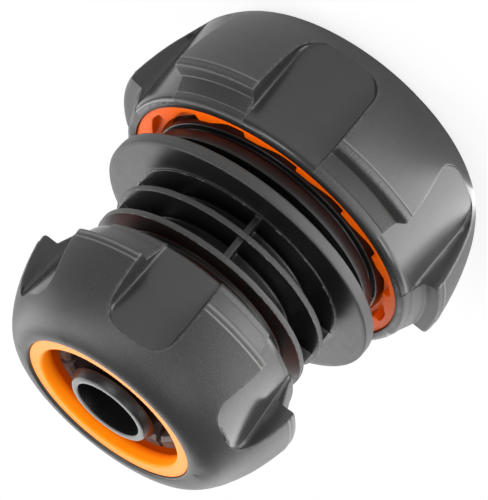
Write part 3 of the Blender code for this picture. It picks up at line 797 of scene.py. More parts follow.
def insert_mesh(end, material, name):
    """Hard threaded shell: front ring, cone, thread, and a ratchet cut in its back."""
    s = end.size
    back = s.nut_length - BOND_GAP
    floor = back - RATCHET_LENGTH
    thread_end = back - s.thread_stop
    tooth_radius = end.insert_bore + RATCHET_INSET
    line, scale = tooth_line(tooth_radius)
    line = line[:-1]
    along = np.roll(line, -1, 0) - np.roll(line, 1, 0)
    along[0] = along[-1] = (1.0, 0.0)
    along /= np.linalg.norm(along, axis=1)[:, None]
    normal = np.stack([-along[:, 1], along[:, 0]], -1)
    starts = RATCHET_START_ANGLE + np.arange(RATCHET_COUNT) * TURN / RATCHET_COUNT
    steps = np.arange(len(line)) * TURN / RATCHET_COUNT / len(line)
    even_turn = (starts[:, None] + line[0, 0] / scale + steps).ravel()

    def notched(offset):
        """Radii and angles round the ratchet, with its outline moved inward by the offset."""
        spot = line + normal * offset
        turn = (starts[:, None] + spot[:, 0] / scale).ravel()
        return np.tile(spot[:, 1], RATCHET_COUNT), turn

    outside = rounded(
        [
            (end.ring_inner, 1.3 * MM, 0.0),
            (end.ring_inner, FACE_RECESS, RING_ROUND),
            (end.ring_outer, FACE_RECESS - RING_DISH, RING_EDGE),
            (end.ring_outer, FACE_RECESS + 0.5 * LIP_LENGTH, 0.0),
            (end.insert_outer, end.insert_shoulder, 0.0),
            (end.insert_outer, back, SHELL_ROUND),
            (end.insert_outer - 0.3 * MM, back, 0.0),
        ],
        steps=5,
    )
    rows = [end.points(radius, even_turn, depth) for radius, depth in outside]

    # The ratchet: its bevelled edge, its walls, and its floor in to the bore
    tooth_turn = notched(0.0)[1]
    rows.append(end.points(tooth_radius + RATCHET_DEPTH + 0.25 * MM, tooth_turn, back))
    for turn in even(0.5 * math.pi, 0.0, 4):
        outward = RATCHET_BEVEL * (1.0 - math.cos(turn)) if turn < 1.5 else RATCHET_BEVEL
        radius, angle = notched(outward)
        rows.append(end.points(radius, angle, back - RATCHET_BEVEL * (1.0 - math.sin(turn))))
    radius, angle = notched(0.0)
    for depth in (back - 0.6 * RATCHET_LENGTH, floor + 0.1 * MM):
        rows.append(end.points(radius, angle, depth))
    radius, angle = notched(-0.1 * MM)
    rows.append(end.points(radius, angle, floor))
    rows.append(end.points(tooth_radius - 0.3 * MM, tooth_turn, floor))
    inside = rounded(
        [
            (end.insert_bore + 0.25 * MM, floor, 0.0),
            (end.insert_bore, floor, SHELL_ROUND),
            (end.insert_bore, thread_end, 0.0),
        ]
    )
    rows.extend(end.points(radius, even_turn, depth) for radius, depth in inside)

    # The thread, half a lead out of step with the body's, which fades at both its ends
    thread_top = end.cone_end + 0.3 * MM
    for depth in even(thread_end, thread_top, math.ceil((thread_end - thread_top) / THREAD_SPACING)):
        height = end.front + end.inward * depth - 0.5 * s.thread_lead
        fade = smooth(min(depth - thread_top, thread_end - depth) / THREAD_FADE)
        ridge = 1.0 - thread_wave(end, end.inward * even_turn, height)
        crest = s.thread_depth * NUT_THREAD_SHARE * ridge ** NUT_THREAD_POWER * fade
        rows.append(end.points(end.insert_bore - crest, even_turn, depth))
    cone = rounded(
        [
            (end.insert_bore, end.cone_end, 0.0),
            (end.cup_inner, end.cone_start, CONE_ROUND),
            (end.cup_inner, end.lip_back, CONE_ROUND),
            (end.ring_inner, end.lip_back, LIP_BACK_ROUND),
            (end.ring_inner, 1.6 * MM, 0.0),
        ]
    )
    rows.extend(end.points(radius, even_turn, depth) for radius, depth in cone)
    skin = np.stack(rows)
    depth = end.inward * (skin[..., 2] - end.front)
    radius = np.hypot(skin[..., 0], skin[..., 1])
    # The mark front carries the painted highlight and glow of the front ring; the mark face carries the
    # painted reflection on the flat front face.
    mould = Moulding("front", "face")
    mould.grid(
        skin,
        wrap_rows=True,
        wrap_columns=True,
        front=1.0 - smooth((depth - FRONT_DEPTH) / FRONT_FADE),
        face=(depth < FACE_DEPTH) * smooth((radius - end.ring_inner - FACE_INSET) / FACE_FADE),
    )
    return mould.build(name, material)


# Sizes of the collets' slots, chamfers and inner teeth
SLOT_WIDTH = 1.0 * MM
COLLET_BAND = 3.0 * MM
COLLET_CHAMFER = 0.9 * MM
COLLET_DISH = 0.05 * MM
COLLET_EDGE = 0.1 * MM
COLLET_TEETH = 3
COLLET_TOOTH_START = 1.6 * MM
COLLET_TOOTH_PITCH = 1.8 * MM
COLLET_TOOTH_HEIGHT = 0.3 * MM
COLLET_TOOTH_RAMP = 1.0 * MM
COLLET_TOOTH_LENGTH = 1.3 * MM
COLLET_MOUTH_BEVEL = 0.5 * MM
COLLET_MOUTH_DEPTH = 0.6 * MM
COLLET_ROWS = 1.6 * MM
COLLET_BAND_ROWS = 1.0 * MM
FINGER_STEPS = 10


def collet_mesh(end, material, name):
    """Slotted sleeve whose fingers point at the nut's front, with teeth inside them."""
    s = end.size
    front = end.cone_start
    back = front + s.collet_length
    slot_back = back - COLLET_BAND
    inner, outer = end.finger_inner, end.finger_outer
    teeth = []
    for index in range(COLLET_TEETH):
        start = front + COLLET_TOOTH_START + index * COLLET_TOOTH_PITCH
        teeth.append((inner, start))
        teeth.append((inner - COLLET_TOOTH_HEIGHT, start + COLLET_TOOTH_RAMP))
        teeth.append((inner, start + COLLET_TOOTH_LENGTH))
    finger = divided(
        np.array(
            [
                (outer, slot_back),
                (outer, front + COLLET_CHAMFER),
                (outer - COLLET_CHAMFER, front + COLLET_DISH),
                (0.5 * (inner + outer), front),
                (inner + COLLET_MOUTH_BEVEL, front + COLLET_DISH),
                (inner, front + COLLET_MOUTH_DEPTH),
                *teeth,
                (inner, slot_back),
            ]
        ),
        COLLET_ROWS,
    )
    band = divided(
        np.array(
            [
                (inner, slot_back),
                (inner, back - COLLET_CHAMFER),
                (inner + COLLET_CHAMFER, back),
                (outer, back),
                (outer, slot_back),
            ]
        ),
        COLLET_BAND_ROWS,
    )
    pitch = TURN / s.finger_count
    mould = Moulding()

    def turns(radius, first):
        """Angles across a finger at a radius, between the slots on its two sides."""
        margin = math.asin(0.5 * SLOT_WIDTH / radius)
        return even(first + margin, first + pitch - margin, FINGER_STEPS + 1)

    for index in range(s.finger_count):
        first = s.slot_angle + index * pitch
        skin = np.stack([end.points(radius, turns(radius, first), depth) for radius, depth in finger])
        mould.grid(skin)
        for side in (0, -1):
            mould.polygons(skin[:, side], [list(range(len(finger)))])
        ring = []
        for radius, depth in band:
            gap = turns(radius, first + pitch)[0]
            ring.append(end.points(radius, np.append(turns(radius, first), gap), depth))
        ring = np.stack(ring)
        mould.grid(ring)
        corners = [ring[0, -2], ring[0, -1], ring[-1, -1], ring[-1, -2]]
        mould.polygons(corners, [[0, 1, 2, 3]])
    piece = mould.build(name, material)
    bevel = piece.modifiers.new("edges", "BEVEL")
    bevel.width = COLLET_EDGE
    bevel.segments = 2
    bevel.limit_method = "ANGLE"
    bevel.angle_limit = math.radians(28)
    bevel.harden_normals = True
    return piece


# Sizes of the spigots' barbs and the cups' corners
BARB_COUNT = 3
BARB_BACK = 0.3 * MM
BARB_FOOT_ROUND = 0.25 * MM
BARB_CREST_ROUND = 0.12 * MM
BARB_ROOT_ROUND = 0.2 * MM
CUP_FLOOR_ROUND = 0.5 * MM
CUP_RIM_ROUND = 0.2 * MM
CHAMFER_ROUND = 0.15 * MM


def barb_corners(end, tip, towards_tip):
    """Corners of a spigot's barbs from its tip to its root."""
    s = end.size
    corners = []
    for index in range(BARB_COUNT):
        start = tip - towards_tip * index * s.barb_pitch
        crest = start - towards_tip * s.barb_length
        corners.append((end.root, start, BARB_FOOT_ROUND))
        corners.append((end.crest, crest, BARB_CREST_ROUND))
        corners.append((end.root, crest - towards_tip * BARB_BACK, BARB_ROOT_ROUND))
    return corners


def cup_corners(end, shoulder, outward):
    """Corners from the spigot's root round the cup to the start of its thread."""
    rim = shoulder + outward * end.size.thread_length
    floor = rim - outward * end.size.cup_depth
    return [
        (end.root, floor, CUP_FLOOR_ROUND),
        (end.cup_inner, floor, CUP_FLOOR_ROUND),
        (end.cup_inner, rim, CUP_RIM_ROUND),
        (end.thread - THREAD_CHAMFER, rim, CHAMFER_ROUND),
        (end.thread, rim - outward * THREAD_CHAMFER, CHAMFER_ROUND),
    ]


# Roundings and marks of the body
SMALL_TIP_ROUND = 0.18 * MM
RING_EDGE_ROUND = 0.16 * MM
ROOT_FILLET = 0.4 * MM
FACE_ROUND = 0.3 * MM
STEP_ROUND = 0.1 * MM
COLLAR_ROUND = 0.15 * MM
RELIEF_ROUND = 0.2 * MM
WEB_FILLET = 0.3 * MM
WEB_EDGE = 0.1 * MM
WEB_DRAFT = 0.05 * MM
WEB_CLEAR = 1.3 * MM
# Widths of the paler rims on the rings and the flange.
PALE_RIM_WIDTH = 0.12 * MM
FLANGE_RIM_WIDTH = 0.2 * MM
# Width of the light lines along edges: burrs, and at the neck painted highlight lines.
SEAM_AND_HIGHLIGHT_WIDTH = 0.13 * MM
# Depth of the painted highlight on the spigot tips.
TIP_DEPTH = 0.1 * MM
THREAD_MARGIN = 0.2 * MM
THREAD_RUNOUT = 0.6 * MM
THREAD_MEAN_RADIUS = 14.0 * MM
THREAD_START_FADE = 1.0 * MM
RIM_REACH = THREAD_CHAMFER + 0.3 * MM
LARGE_TIP_ROUND = 0.2 * MM
LARGE_BORE_ROUND = 0.8 * MM
CUP_SPACING = 1.5 * MM
MIDDLE_SPACING = 0.55 * MM


class Middle:
    """Radii and places of the body from tip to tip, worked out from its sizes."""

    def __init__(self):
        b = settings().body
        self.size = b
        self.small = small_end()
        self.large = large_end()
        self.web_radius = b.ring_radius - b.web_inset
        self.flange_radius = self.large.insert_outer - b.flange_inset
        self.flange_back = self.large.size.nut_length + self.large.size.nut_gap
        self.flange_front = self.flange_back + b.flange_thickness
        self.step_top = self.flange_front + b.face_step_height
        self.lower_ring = self.flange_front + b.ring_spacing
        self.lower_top = self.lower_ring + b.ring_thickness
        self.upper_ring = self.lower_top + b.ring_spacing
        self.shoulder = self.upper_ring + b.ring_thickness
        self.small_tip = self.shoulder + self.small.size.spigot_length
        self.large_tip = self.flange_back - self.large.size.spigot_length
        self.small_rim = self.shoulder + self.small.size.thread_length
        self.large_rim = self.flange_back - self.large.size.thread_length
        self.neck_end = self.flange_back - b.neck_length
        self.collar_end = self.neck_end - b.collar_length
        self.relief_end = self.collar_end - b.relief_length
        self.small_stop = self.shoulder + THREAD_RUNOUT
        self.large_stop = self.relief_end - THREAD_RUNOUT


def body_outlines(m):
    """(radius, height) outlines of the small end, the middle and the large end.

    The two threads run between them.
    """
    b, small, large = m.size, m.small, m.large
    groove = large.thread - b.relief_depth
    upper = rounded(
        [
            (small.size.bore, m.upper_ring, 0.0),
            (small.size.bore, m.small_tip, SMALL_TIP_ROUND),
            *barb_corners(small, m.small_tip, 1),
            *cup_corners(small, m.shoulder, 1),
            (small.thread, m.small_stop, 0.0),
        ]
    )
    middle = rounded(
        [
            (small.thread, m.small_stop, 0.0),
            (small.thread, m.shoulder, FACE_ROUND),
            (b.ring_radius, m.shoulder, RING_EDGE_ROUND),
            (b.ring_radius, m.upper_ring, RING_EDGE_ROUND),
            (b.core_radius, m.upper_ring, ROOT_FILLET),
            (b.core_radius, m.lower_top, ROOT_FILLET),
            (b.ring_radius, m.lower_top, RING_EDGE_ROUND),
            (b.ring_radius, m.lower_ring, RING_EDGE_ROUND),
            (b.core_radius, m.lower_ring, ROOT_FILLET),
            (b.core_radius, m.step_top, ROOT_FILLET),
            (b.face_step_radius, m.step_top, STEP_ROUND),
            (b.face_step_radius, m.flange_front, STEP_ROUND),
            (m.flange_radius, m.flange_front, FACE_ROUND),
            (m.flange_radius, m.flange_back, FACE_ROUND),
            (b.neck_radius, m.flange_back, FACE_ROUND),
            (b.neck_radius, m.neck_end, FACE_ROUND),
            (large.thread, m.neck_end, COLLAR_ROUND),
            (large.thread, m.collar_end, COLLAR_ROUND),
            (groove, m.collar_end, RELIEF_ROUND),
            (groove, m.relief_end, RELIEF_ROUND),
            (large.thread, m.relief_end, RELIEF_ROUND),
            (large.thread, m.relief_end - 0.5 * MM, 0.0),
        ]
    )
    lower = rounded(
        [
            *cup_corners(large, m.flange_back, -1)[::-1],
            *barb_corners(large, m.large_tip, -1)[::-1],
            (large.size.bore, m.large_tip, LARGE_TIP_ROUND),
            (large.size.bore, m.flange_back, LARGE_BORE_ROUND),
            (small.size.bore, m.upper_ring, 0.0),
        ]
    )
    return upper[:-1], middle[1:], lower[:-1]


def turned_rows(m, outline, spacing, columns, sides, lifts):
    """(radius, angle, height) rows of a turned outline, raised to the webs in the grooves."""
    b = m.size
    outline = divided(outline, spacing)
    radius = np.repeat(outline[:, :1], len(columns), 1)
    height = np.repeat(outline[:, 1:], len(columns), 1)
    on_core = (outline[:, 0] > b.core_radius - 0.1 * MM) & (outline[:, 0] < m.web_radius - 0.05 * MM)
    for low, high in ((m.lower_top, m.upper_ring), (m.step_top, m.lower_ring)):
        between = (outline[:, 1] > low - 1e-7) & (outline[:, 1] < high + 1e-7)
        inside = np.nonzero(on_core & between)[0]
        top = even(high, low, len(inside) + 2)[1:-1, None]
        radius[inside] += lifts * (m.web_radius - radius[inside])
        height[inside] += lifts * (top - height[inside])
    base = np.where(sides == 0.0, 0.0, sides / np.clip(radius, b.core_radius, b.ring_radius))
    return np.stack([radius, columns + np.arcsin(base), height], -1)


def thread_rows(end, heights, stop, columns, sides):
    """Rows of a thread that fades at its stop and runs on through the cup's rim."""
    turn = columns + np.arcsin(sides / THREAD_MEAN_RADIUS)
    height = heights[:, None]
    depth = end.size.thread_depth * smooth(np.abs(height - stop) / THREAD_START_FADE)
    radius = end.thread - depth * thread_wave(end, turn, height)
    return np.stack(np.broadcast_arrays(radius, turn, height), -1)


def grooved(end, rows, rim):
    """Cuts the end of the thread into the rows of the cup's chamfered rim."""
    radius, turn, height = rows[..., 0], rows[..., 1], rows[..., 2]
    near_rim = np.abs(height - rim) < RIM_REACH
    outer = radius > end.cup_inner + 0.5 * MM
    groove = end.thread - end.size.thread_depth * thread_wave(end, turn, height)
    rows[..., 0] = np.where(near_rim & outer, np.minimum(radius, groove), radius)
    return rows


def body_marks(m, rows):
    """Marks of the pale rims, of the light jagged lines along edges (burrs, and at the neck painted
    highlight lines) and of the spigot tips' painted highlight, at each point.
    """
    b = m.size
    radius, height = rows[..., 0], rows[..., 2]
    # Paler rims: the outside of the two rings and of the flange.
    on_ring = np.isclose(radius, b.ring_radius, atol=PALE_RIM_WIDTH) & (height > m.flange_front)
    flash = on_ring | (radius > m.flange_radius - FLANGE_RIM_WIDTH)
    # Painted highlight: the flat ends of both spigots.
    tip = (height > m.small_tip - TIP_DEPTH) | (height < m.large_tip + TIP_DEPTH)
    seam = np.zeros(radius.shape, bool)
    for edge_radius, edge_height in (
        (b.face_step_radius, m.step_top),
        (m.flange_radius, m.flange_front),
        (m.flange_radius, m.flange_back),
        (b.ring_radius, m.lower_ring),
        (b.ring_radius, m.lower_top),
        (b.ring_radius, m.shoulder),
        # The neck's two corners get painted highlight lines.
        (b.neck_radius, m.flange_back),
        (b.neck_radius, m.neck_end),
    ):
        seam |= np.hypot(radius - edge_radius, height - edge_height) < SEAM_AND_HIGHLIGHT_WIDTH
    return {"flash": flash, "seam": seam, "tip": tip}


def body_mesh(material, name):
    """Body: barbed spigots, threaded cups, rings, flange and webs, all one moulding."""
    m = Middle()
    columns, sides, lifts = body_columns(m)
    upper, middle, lower = body_outlines(m)
    small_first = m.small_rim - THREAD_CHAMFER - THREAD_MARGIN
    large_last = m.large_rim + THREAD_CHAMFER + THREAD_MARGIN
    small_rows = math.ceil((small_first - m.small_stop) / THREAD_SPACING)
    large_rows = math.ceil((m.relief_end - large_last) / THREAD_SPACING)
    small_heights = even(small_first, m.small_stop, small_rows)
    large_heights = even(m.large_stop, large_last, large_rows)
    rows = np.concatenate(
        [
            grooved(m.small, turned_rows(m, upper, CUP_SPACING, columns, sides, lifts), m.small_rim),
            thread_rows(m.small, small_heights, m.small_stop, columns, sides),
            turned_rows(m, middle, MIDDLE_SPACING, columns, sides, lifts),
            thread_rows(m.large, large_heights, m.large_stop, columns, sides),
            grooved(m.large, turned_rows(m, lower, CUP_SPACING, columns, sides, lifts), m.large_rim),
        ]
    )
    radius, turn, height = rows[..., 0], rows[..., 1], rows[..., 2]
    points = np.stack([radius * np.cos(turn), radius * np.sin(turn), height], -1)
    mould = Moulding("flash", "seam", "tip")
    mould.grid(points, wrap_rows=True, wrap_columns=True, **body_marks(m, rows))

    def roughen(point, marks):
        if math.hypot(point.x, point.y) < m.small.thread:
            return Vector()
        return wander(point, *BODY_SWAY)

    return mould.build(name, material, roughen)


def body_columns(m):
    """Angles round the body: an even spread, with finer columns at each web.

    Gives for each column its base angle, its distance to the side of that angle, and how
    far it is lifted from the core to the top of a web.
    """
    b = m.size
    half = 0.5 * b.web_thickness
    tall = m.web_radius - b.core_radius
    profile = []
    for turn in even(0.0, 0.5 * math.pi, 5):
        side = half + WEB_DRAFT + WEB_FILLET * (1.0 - math.sin(turn))
        profile.append((side, WEB_FILLET * (1.0 - math.cos(turn)) / tall))
    for turn in even(0.0, 0.5 * math.pi, 4):
        side = half - WEB_EDGE * (1.0 - math.cos(turn))
        profile.append((side, 1.0 - WEB_EDGE * (1.0 - math.sin(turn)) / tall))
    profile.append((0.5 * (half - WEB_EDGE), 1.0))
    gap = math.asin(WEB_CLEAR / b.core_radius)
    per_web = BODY_COLUMNS // b.web_count
    columns, sides, lifts = [], [], []
    for index in range(b.web_count):
        centre = b.web_angle + index * TURN / b.web_count
        for side, lift in [(-s, l) for s, l in profile] + [(0.0, 1.0)] + profile[::-1]:
            columns.append(centre)
            sides.append(side)
            lifts.append(lift)
        for turn in even(centre + gap, centre + TURN / b.web_count - gap, per_web):
            columns.append(turn)
            sides.append(0.0)
            lifts.append(0.0)
    return np.array(columns), np.array(sides), np.array(lifts)


class Value:
    """A socket of a node tree, so that shader maths reads as plain expressions."""

    def __init__(self, nodes, socket):
        self.nodes = nodes
        self.socket = socket

    def maths(self, operation, *operands):
        return self.nodes.node("ShaderNodeMath", {"operation": operation}, dict(enumerate(operands)))

    def __add__(self, other):
        return self.maths("ADD", self, other)

    def __sub__(self, other):
        return self.maths("SUBTRACT", self, other)

    def __rsub__(self, other):
        return self.maths("SUBTRACT", other, self)

    def __mul__(self, other):
        return self.maths("MULTIPLY", self, other)

    def __pow__(self, other):
        return self.maths("POWER", self, other)

    __radd__ = __add__
    __rmul__ = __mul__

    def clamped(self, low, high):
        """This value spread smoothly from low..high to 0..1 and kept there."""
        options = {"clamp": True, "interpolation_type": "SMOOTHSTEP"}
        return self.nodes.node("ShaderNodeMapRange", options, {0: self, 1: low, 2: high})


class Nodes:
    """Adds nodes to one tree; every node comes from its node method."""

    def __init__(self, tree):
        self.tree = tree

    def node(self, kind, options, inputs, output=0):
        """A new node with its options and inputs set; gives the named output, if it has any."""
        node = self.tree.nodes.new(kind)
        for key, value in options.items():
            setattr(node, key, value)
        for key, value in inputs.items():
            self.join(node.inputs[key], value)
        return Value(self, node.outputs[output]) if node.outputs else None

    def join(self, socket, value):
        """Links a value to a socket, or sets a plain number or colour on it."""
        if isinstance(value, Value):
            self.tree.links.new(value.socket, socket)
        else:
            socket.default_value = value


class Recipe(Nodes):
    """One plastic: its shader, and what changes over its surface."""

    def __init__(self, name, colour, roughness):
        self.material = bpy.data.materials.new(name)
        self.material.use_nodes = True
        self.material.diffuse_color = (*colour, 1.0)
        super().__init__(self.material.node_tree)
        self.shader = self.tree.nodes["Principled BSDF"]
        self.feed("Base Color", (*colour, 1.0))
        self.feed("Roughness", roughness)
        self.place = self.node("ShaderNodeTexCoord", {}, {}, "Object")

    def feed(self, socket, value):
        self.join(self.shader.inputs[socket], value)

    def mark(self, name):
        return self.node("ShaderNodeAttribute", {"attribute_name": name}, {}, "Fac")

    def noise(self, place, scale, detail):
        inputs = {"Vector": place, "Scale": scale, "Detail": detail}
        return self.node("ShaderNodeTexNoise", {}, inputs, "Fac")

    def speckle(self, size, detail=2.0):
        """Noise with spots of the given size, from 0 to 1."""
        return self.noise(self.place, 1.0 / size, detail)

    def blend(self, part, first, second):
        """Colour between two colours."""
        first = first if isinstance(first, Value) else (*first, 1.0)
        second = second if isinstance(second, Value) else (*second, 1.0)
        inputs = {0: part, 6: first, 7: second}
        return self.node("ShaderNodeMix", {"data_type": "RGBA"}, inputs, 2)

    def turned(self, round_scale, across_scale, detail):
        """Noise in turned coordinates, for marks that run round the axis."""
        split = self.node("ShaderNodeSeparateXYZ", {}, {0: self.place})
        x, y, z = (Value(self, socket) for socket in split.socket.node.outputs)
        radius = (x * x + y * y) ** 0.5
        turn = x.maths("ARCTAN2", y, x)
        parts = {0: turn * round_scale, 1: radius * across_scale, 2: z * across_scale}
        return self.noise(self.node("ShaderNodeCombineXYZ", {}, parts), 1.0, detail)

    def bump(self, height, strength, distance):
        inputs = {"Strength": strength, "Distance": distance, "Height": height}
        self.feed("Normal", self.node("ShaderNodeBump", {}, inputs))


def shaded(colour, part):
    """A colour made darker or paler by one factor."""
    return tuple(part * channel for channel in colour)


def grip_plastic(plastics):
    """Soft dark grey plastic: grained on the lugs, smoother in the recesses, with paler edges that are
    partly scuffed and partly a painted highlight, and painted highlight lines along the lugs' bands.
    """
    recipe = Recipe("grip_soft_plastic", plastics.grip, 0.5)
    floor = recipe.mark("recess")
    grain = recipe.speckle(0.16 * MM)
    cloud = recipe.speckle(6.0 * MM)
    base = recipe.blend(cloud.clamped(0.3, 0.7), shaded(plastics.grip, 0.93), shaded(plastics.grip, 1.08))
    spots = grain.clamped(0.45, 0.8) * (1.0 - floor) * 0.3
    base = recipe.blend(spots, base, plastics.scuff_and_highlight)
    patches = recipe.speckle(0.5 * MM, 3.0).clamped(0.35, 0.7)
    # Paler grey on the marked edges: partly scuffing, and partly a painted highlight on the recess walls'
    # top rounding and foot ledge.
    worn_and_highlit = recipe.mark("edge").clamped(0.75, 1.0) * patches * 0.5
    base = recipe.blend(worn_and_highlit, base, plastics.scuff_and_highlight)
    # Painted highlight: light grey lines along the step of each lug's band.
    recipe.feed("Base Color", recipe.blend(recipe.mark("crease") * 0.5, base, plastics.burr_and_highlight))
    recipe.feed("Roughness", 0.21 + 0.06 * cloud + 0.18 * (1.0 - floor))
    comb = recipe.turned(90.0, 250.0, 2.0).clamped(0.45, 0.62) * recipe.mark("band")
    recipe.bump(grain * (1.0 - 0.8 * floor) + comb * 0.8, plastics.grain, 0.05 * MM)
    return recipe.material


def body_plastic(plastics):
    """Black plastic with a satin sheen, turned streaks and paler, rougher rims, with light jagged burrs
    along edges, painted highlight lines at the neck and a painted highlight on the spigot tips.
    """
    recipe = Recipe("body_black_plastic", plastics.body, 0.3)
    flash = recipe.mark("flash")
    streaks = recipe.turned(3.0, 9000.0, 3.0)
    grain = recipe.speckle(0.09 * MM)
    jags = recipe.speckle(0.8 * MM, 4.0).clamped(0.5, 0.68)
    # Light jagged lines along the marked edges: burrs where the mould closed, and at the neck painted
    # highlight lines.
    burr_and_highlight = recipe.mark("seam").clamped(0.55, 0.95) * jags * 0.6
    pale = flash * (0.75 + 0.25 * grain.clamped(0.3, 0.7))
    base = recipe.blend(pale, plastics.body, plastics.flash)
    base = recipe.blend(burr_and_highlight, base, plastics.burr_and_highlight)
    # Painted highlight: the spigot tips take the pale grey tip colour.
    recipe.feed("Base Color", recipe.blend(recipe.mark("tip"), base, plastics.tip))
    recipe.feed("Specular IOR Level", 0.42)
    recipe.feed("Roughness", 0.26 + 0.18 * streaks + 0.14 * flash)
    recipe.bump(0.6 * streaks + grain * (0.4 + 0.6 * flash) + burr_and_highlight, 0.5, 0.03 * MM)
    return recipe.material


def insert_plastic(plastics):
    """Bright orange plastic, a little translucent, with faint turned marks. It has a painted glow all over,
    a painted highlight on its thin front ring and a painted reflection on its flat front face.
    """
    recipe = Recipe("insert_orange_plastic", plastics.insert, 0.3)
    streaks = recipe.turned(1.5, 1200.0, 2.0)
    cloud = recipe.speckle(3.0 * MM)
    recipe.feed("Specular IOR Level", 0.1)
    recipe.feed("Subsurface Weight", 0.4)
    recipe.feed("Subsurface Radius", (1.0, 0.25, 0.05))
    recipe.feed("Subsurface Scale", 1.5 * MM)
    base = recipe.blend(cloud.clamped(0.3, 0.75) * 0.5, plastics.insert, shaded(plastics.insert, 0.9))
    # Painted highlight: the front of the shell takes the yellower shell-front colour.
    base = recipe.blend(recipe.mark("front"), base, plastics.glow)
    # Painted reflection: the flat front face takes the pale peach ring-face colour.
    recipe.feed("Base Color", recipe.blend(recipe.mark("face"), base, plastics.face))
    # Painted glow: the whole shell emits a dim orange of its own, and its front ring emits the brighter
    # shell-front colour, though it is no lamp.
    shine = recipe.blend(recipe.mark("front"), shaded(plastics.insert, 0.3), plastics.glow)
    recipe.feed("Emission Color", shine)
    recipe.feed("Emission Strength", 0.4)
    recipe.feed("Roughness", 0.36 + 0.14 * streaks)
    recipe.bump(streaks, 0.15, 0.03 * MM)
    return recipe.material


def collet_plastic(plastics):
    """Dark brown-grey plastic of the collets, slightly scuffed."""
    recipe = Recipe("collet_brown_plastic", plastics.collet, 0.4)
    cloud = recipe.speckle(1.2 * MM, 3.0)
    pale = shaded(plastics.collet, 1.7)
    recipe.feed("Base Color", recipe.blend(cloud.clamped(0.35, 0.7), plastics.collet, pale))
    recipe.feed("Specular IOR Level", 0.3)
    recipe.feed("Roughness", 0.34 + 0.2 * cloud)
    recipe.bump(recipe.speckle(0.15 * MM), 0.2, 0.03 * MM)
    return recipe.material


def place_piece(piece, body, node):
    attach(piece, body)
    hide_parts(node)


class MENDER_OT_body(bpy.types.Operator):
    """Build the black body with its spigots, threads, rings, flange and webs"""

    bl_idname = "mender.body"
    bl_label = "Body"

    def execute(self, context):
        piece = body_mesh(body_plastic(settings().plastics), "body_moulding")
        place_piece(piece, "body", "connector_body")
        return {"FINISHED"}


class MENDER_OT_grips(bpy.types.Operator):
    """Build the soft lugged grips of both nuts"""

    bl_idname = "mender.grips"
    bl_label = "Grips"

    def execute(self, context):
        material = grip_plastic(settings().plastics)
        for end in (small_end(), large_end()):
            piece = grip_mesh(end, material, f"{end.name}_grip_moulding")
            place_piece(piece, f"{end.name}_nut", f"{end.name}_nut_grip")
        return {"FINISHED"}


class MENDER_OT_inserts(bpy.types.Operator):
    """Build the orange threaded shells of both nuts"""

    bl_idname = "mender.inserts"
    bl_label = "Threaded shells"

    def execute(self, context):
        material = insert_plastic(settings().plastics)
        for end in (small_end(), large_end()):
            piece = insert_mesh(end, material, f"{end.name}_shell_moulding")
            place_piece(piece, f"{end.name}_nut", f"{end.name}_nut_insert")
        return {"FINISHED"}


class MENDER_OT_collets(bpy.types.Operator):
    """Build the slotted collets of both ends"""

    bl_idname = "mender.collets"
    bl_label = "Collets"

    def execute(self, context):
        material = collet_plastic(settings().plastics)
        for end in (small_end(), large_end()):
            piece = collet_mesh(end, material, f"{end.name}_collet_moulding")
            place_piece(piece, f"{end.name}_collet", f"{end.name}_collet")
        return {"FINISHED"}


# Lamps in metres and watts: name, place, (width, height), power; each faces the object's middle
LAMPS = (
    ("left_softbox", (0.32, 0.28, 0.26), (0.30, 0.30), 1.1),
    ("top_softbox", (0.30, -0.02, 0.45), (0.25, 0.25), 1.05),
    ("back_softbox", (0.02, 0.48, 0.17), (0.55, 0.20), 0.85),
    ("right_softbox", (-0.44, -0.20, 0.10), (0.30, 0.14), 0.9),
    ("front_softbox", (0.20, -0.33, 0.38), (0.22, 0.20), 0.9),
    ("right_top_softbox", (-0.20, -0.28, 0.40), (0.22, 0.20), 0.5),
    ("low_back_box", (-0.26, 0.41, 0.065), (0.20, 0.08), 0.2),
    ("low_right_box", (-0.095, 0.055, 0.036), (0.07, 0.07), 0.03),
    ("low_front_box", (-0.055, -0.095, 0.036), (0.06, 0.06), 0.018),
)
OBJECT_MIDDLE = (0.0, 0.0, 0.03)

# Panels that lie just over the floor and shine upward: name, (x, y), width, power
PANELS = (
    ("right_panel", (-0.13, 0.0), 0.08, 0.085),
    ("near_panel", (-0.049, -0.038), 0.06, 0.05),
    ("front_panel", (-0.027, -0.058), 0.04, 0.02),
)
PANEL_HEIGHT = 0.001

CAMERA_SENSOR = 36.0
CAMERA_RANGE = (0.01, 20.0)


def floor_material(studio):
    """White floor that keeps the object's shadow and shows white to the camera."""
    material = bpy.data.materials.new("studio_floor")
    material.use_nodes = True
    material.node_tree.nodes.clear()
    nodes = Nodes(material.node_tree)
    seen = nodes.node("ShaderNodeLightPath", {}, {}, "Is Camera Ray")
    diffuse = nodes.node("ShaderNodeBsdfDiffuse", {}, {"Color": (*studio.floor, 1.0)})
    glow = nodes.node("ShaderNodeEmission", {}, {})
    inputs = {0: seen * studio.floor_glow, 1: diffuse, 2: glow}
    mix = nodes.node("ShaderNodeMixShader", {}, inputs)
    nodes.node("ShaderNodeOutputMaterial", {}, {"Surface": mix})
    return material


def add_world(studio):
    """Even light from all round, which the camera sees as white."""
    world = bpy.data.worlds.new("studio_world")
    world.use_nodes = True
    bpy.context.scene.world = world
    nodes = Nodes(world.node_tree)
    seen = nodes.node("ShaderNodeLightPath", {}, {}, "Is Camera Ray")
    inputs = {"Value": seen, "To Min": studio.sky, "To Max": 1.0}
    background = world.node_tree.nodes["Background"]
    nodes.join(background.inputs["Color"], (1.0, 1.0, 1.0, 1.0))
    nodes.join(background.inputs["Strength"], nodes.node("ShaderNodeMapRange", {}, inputs))


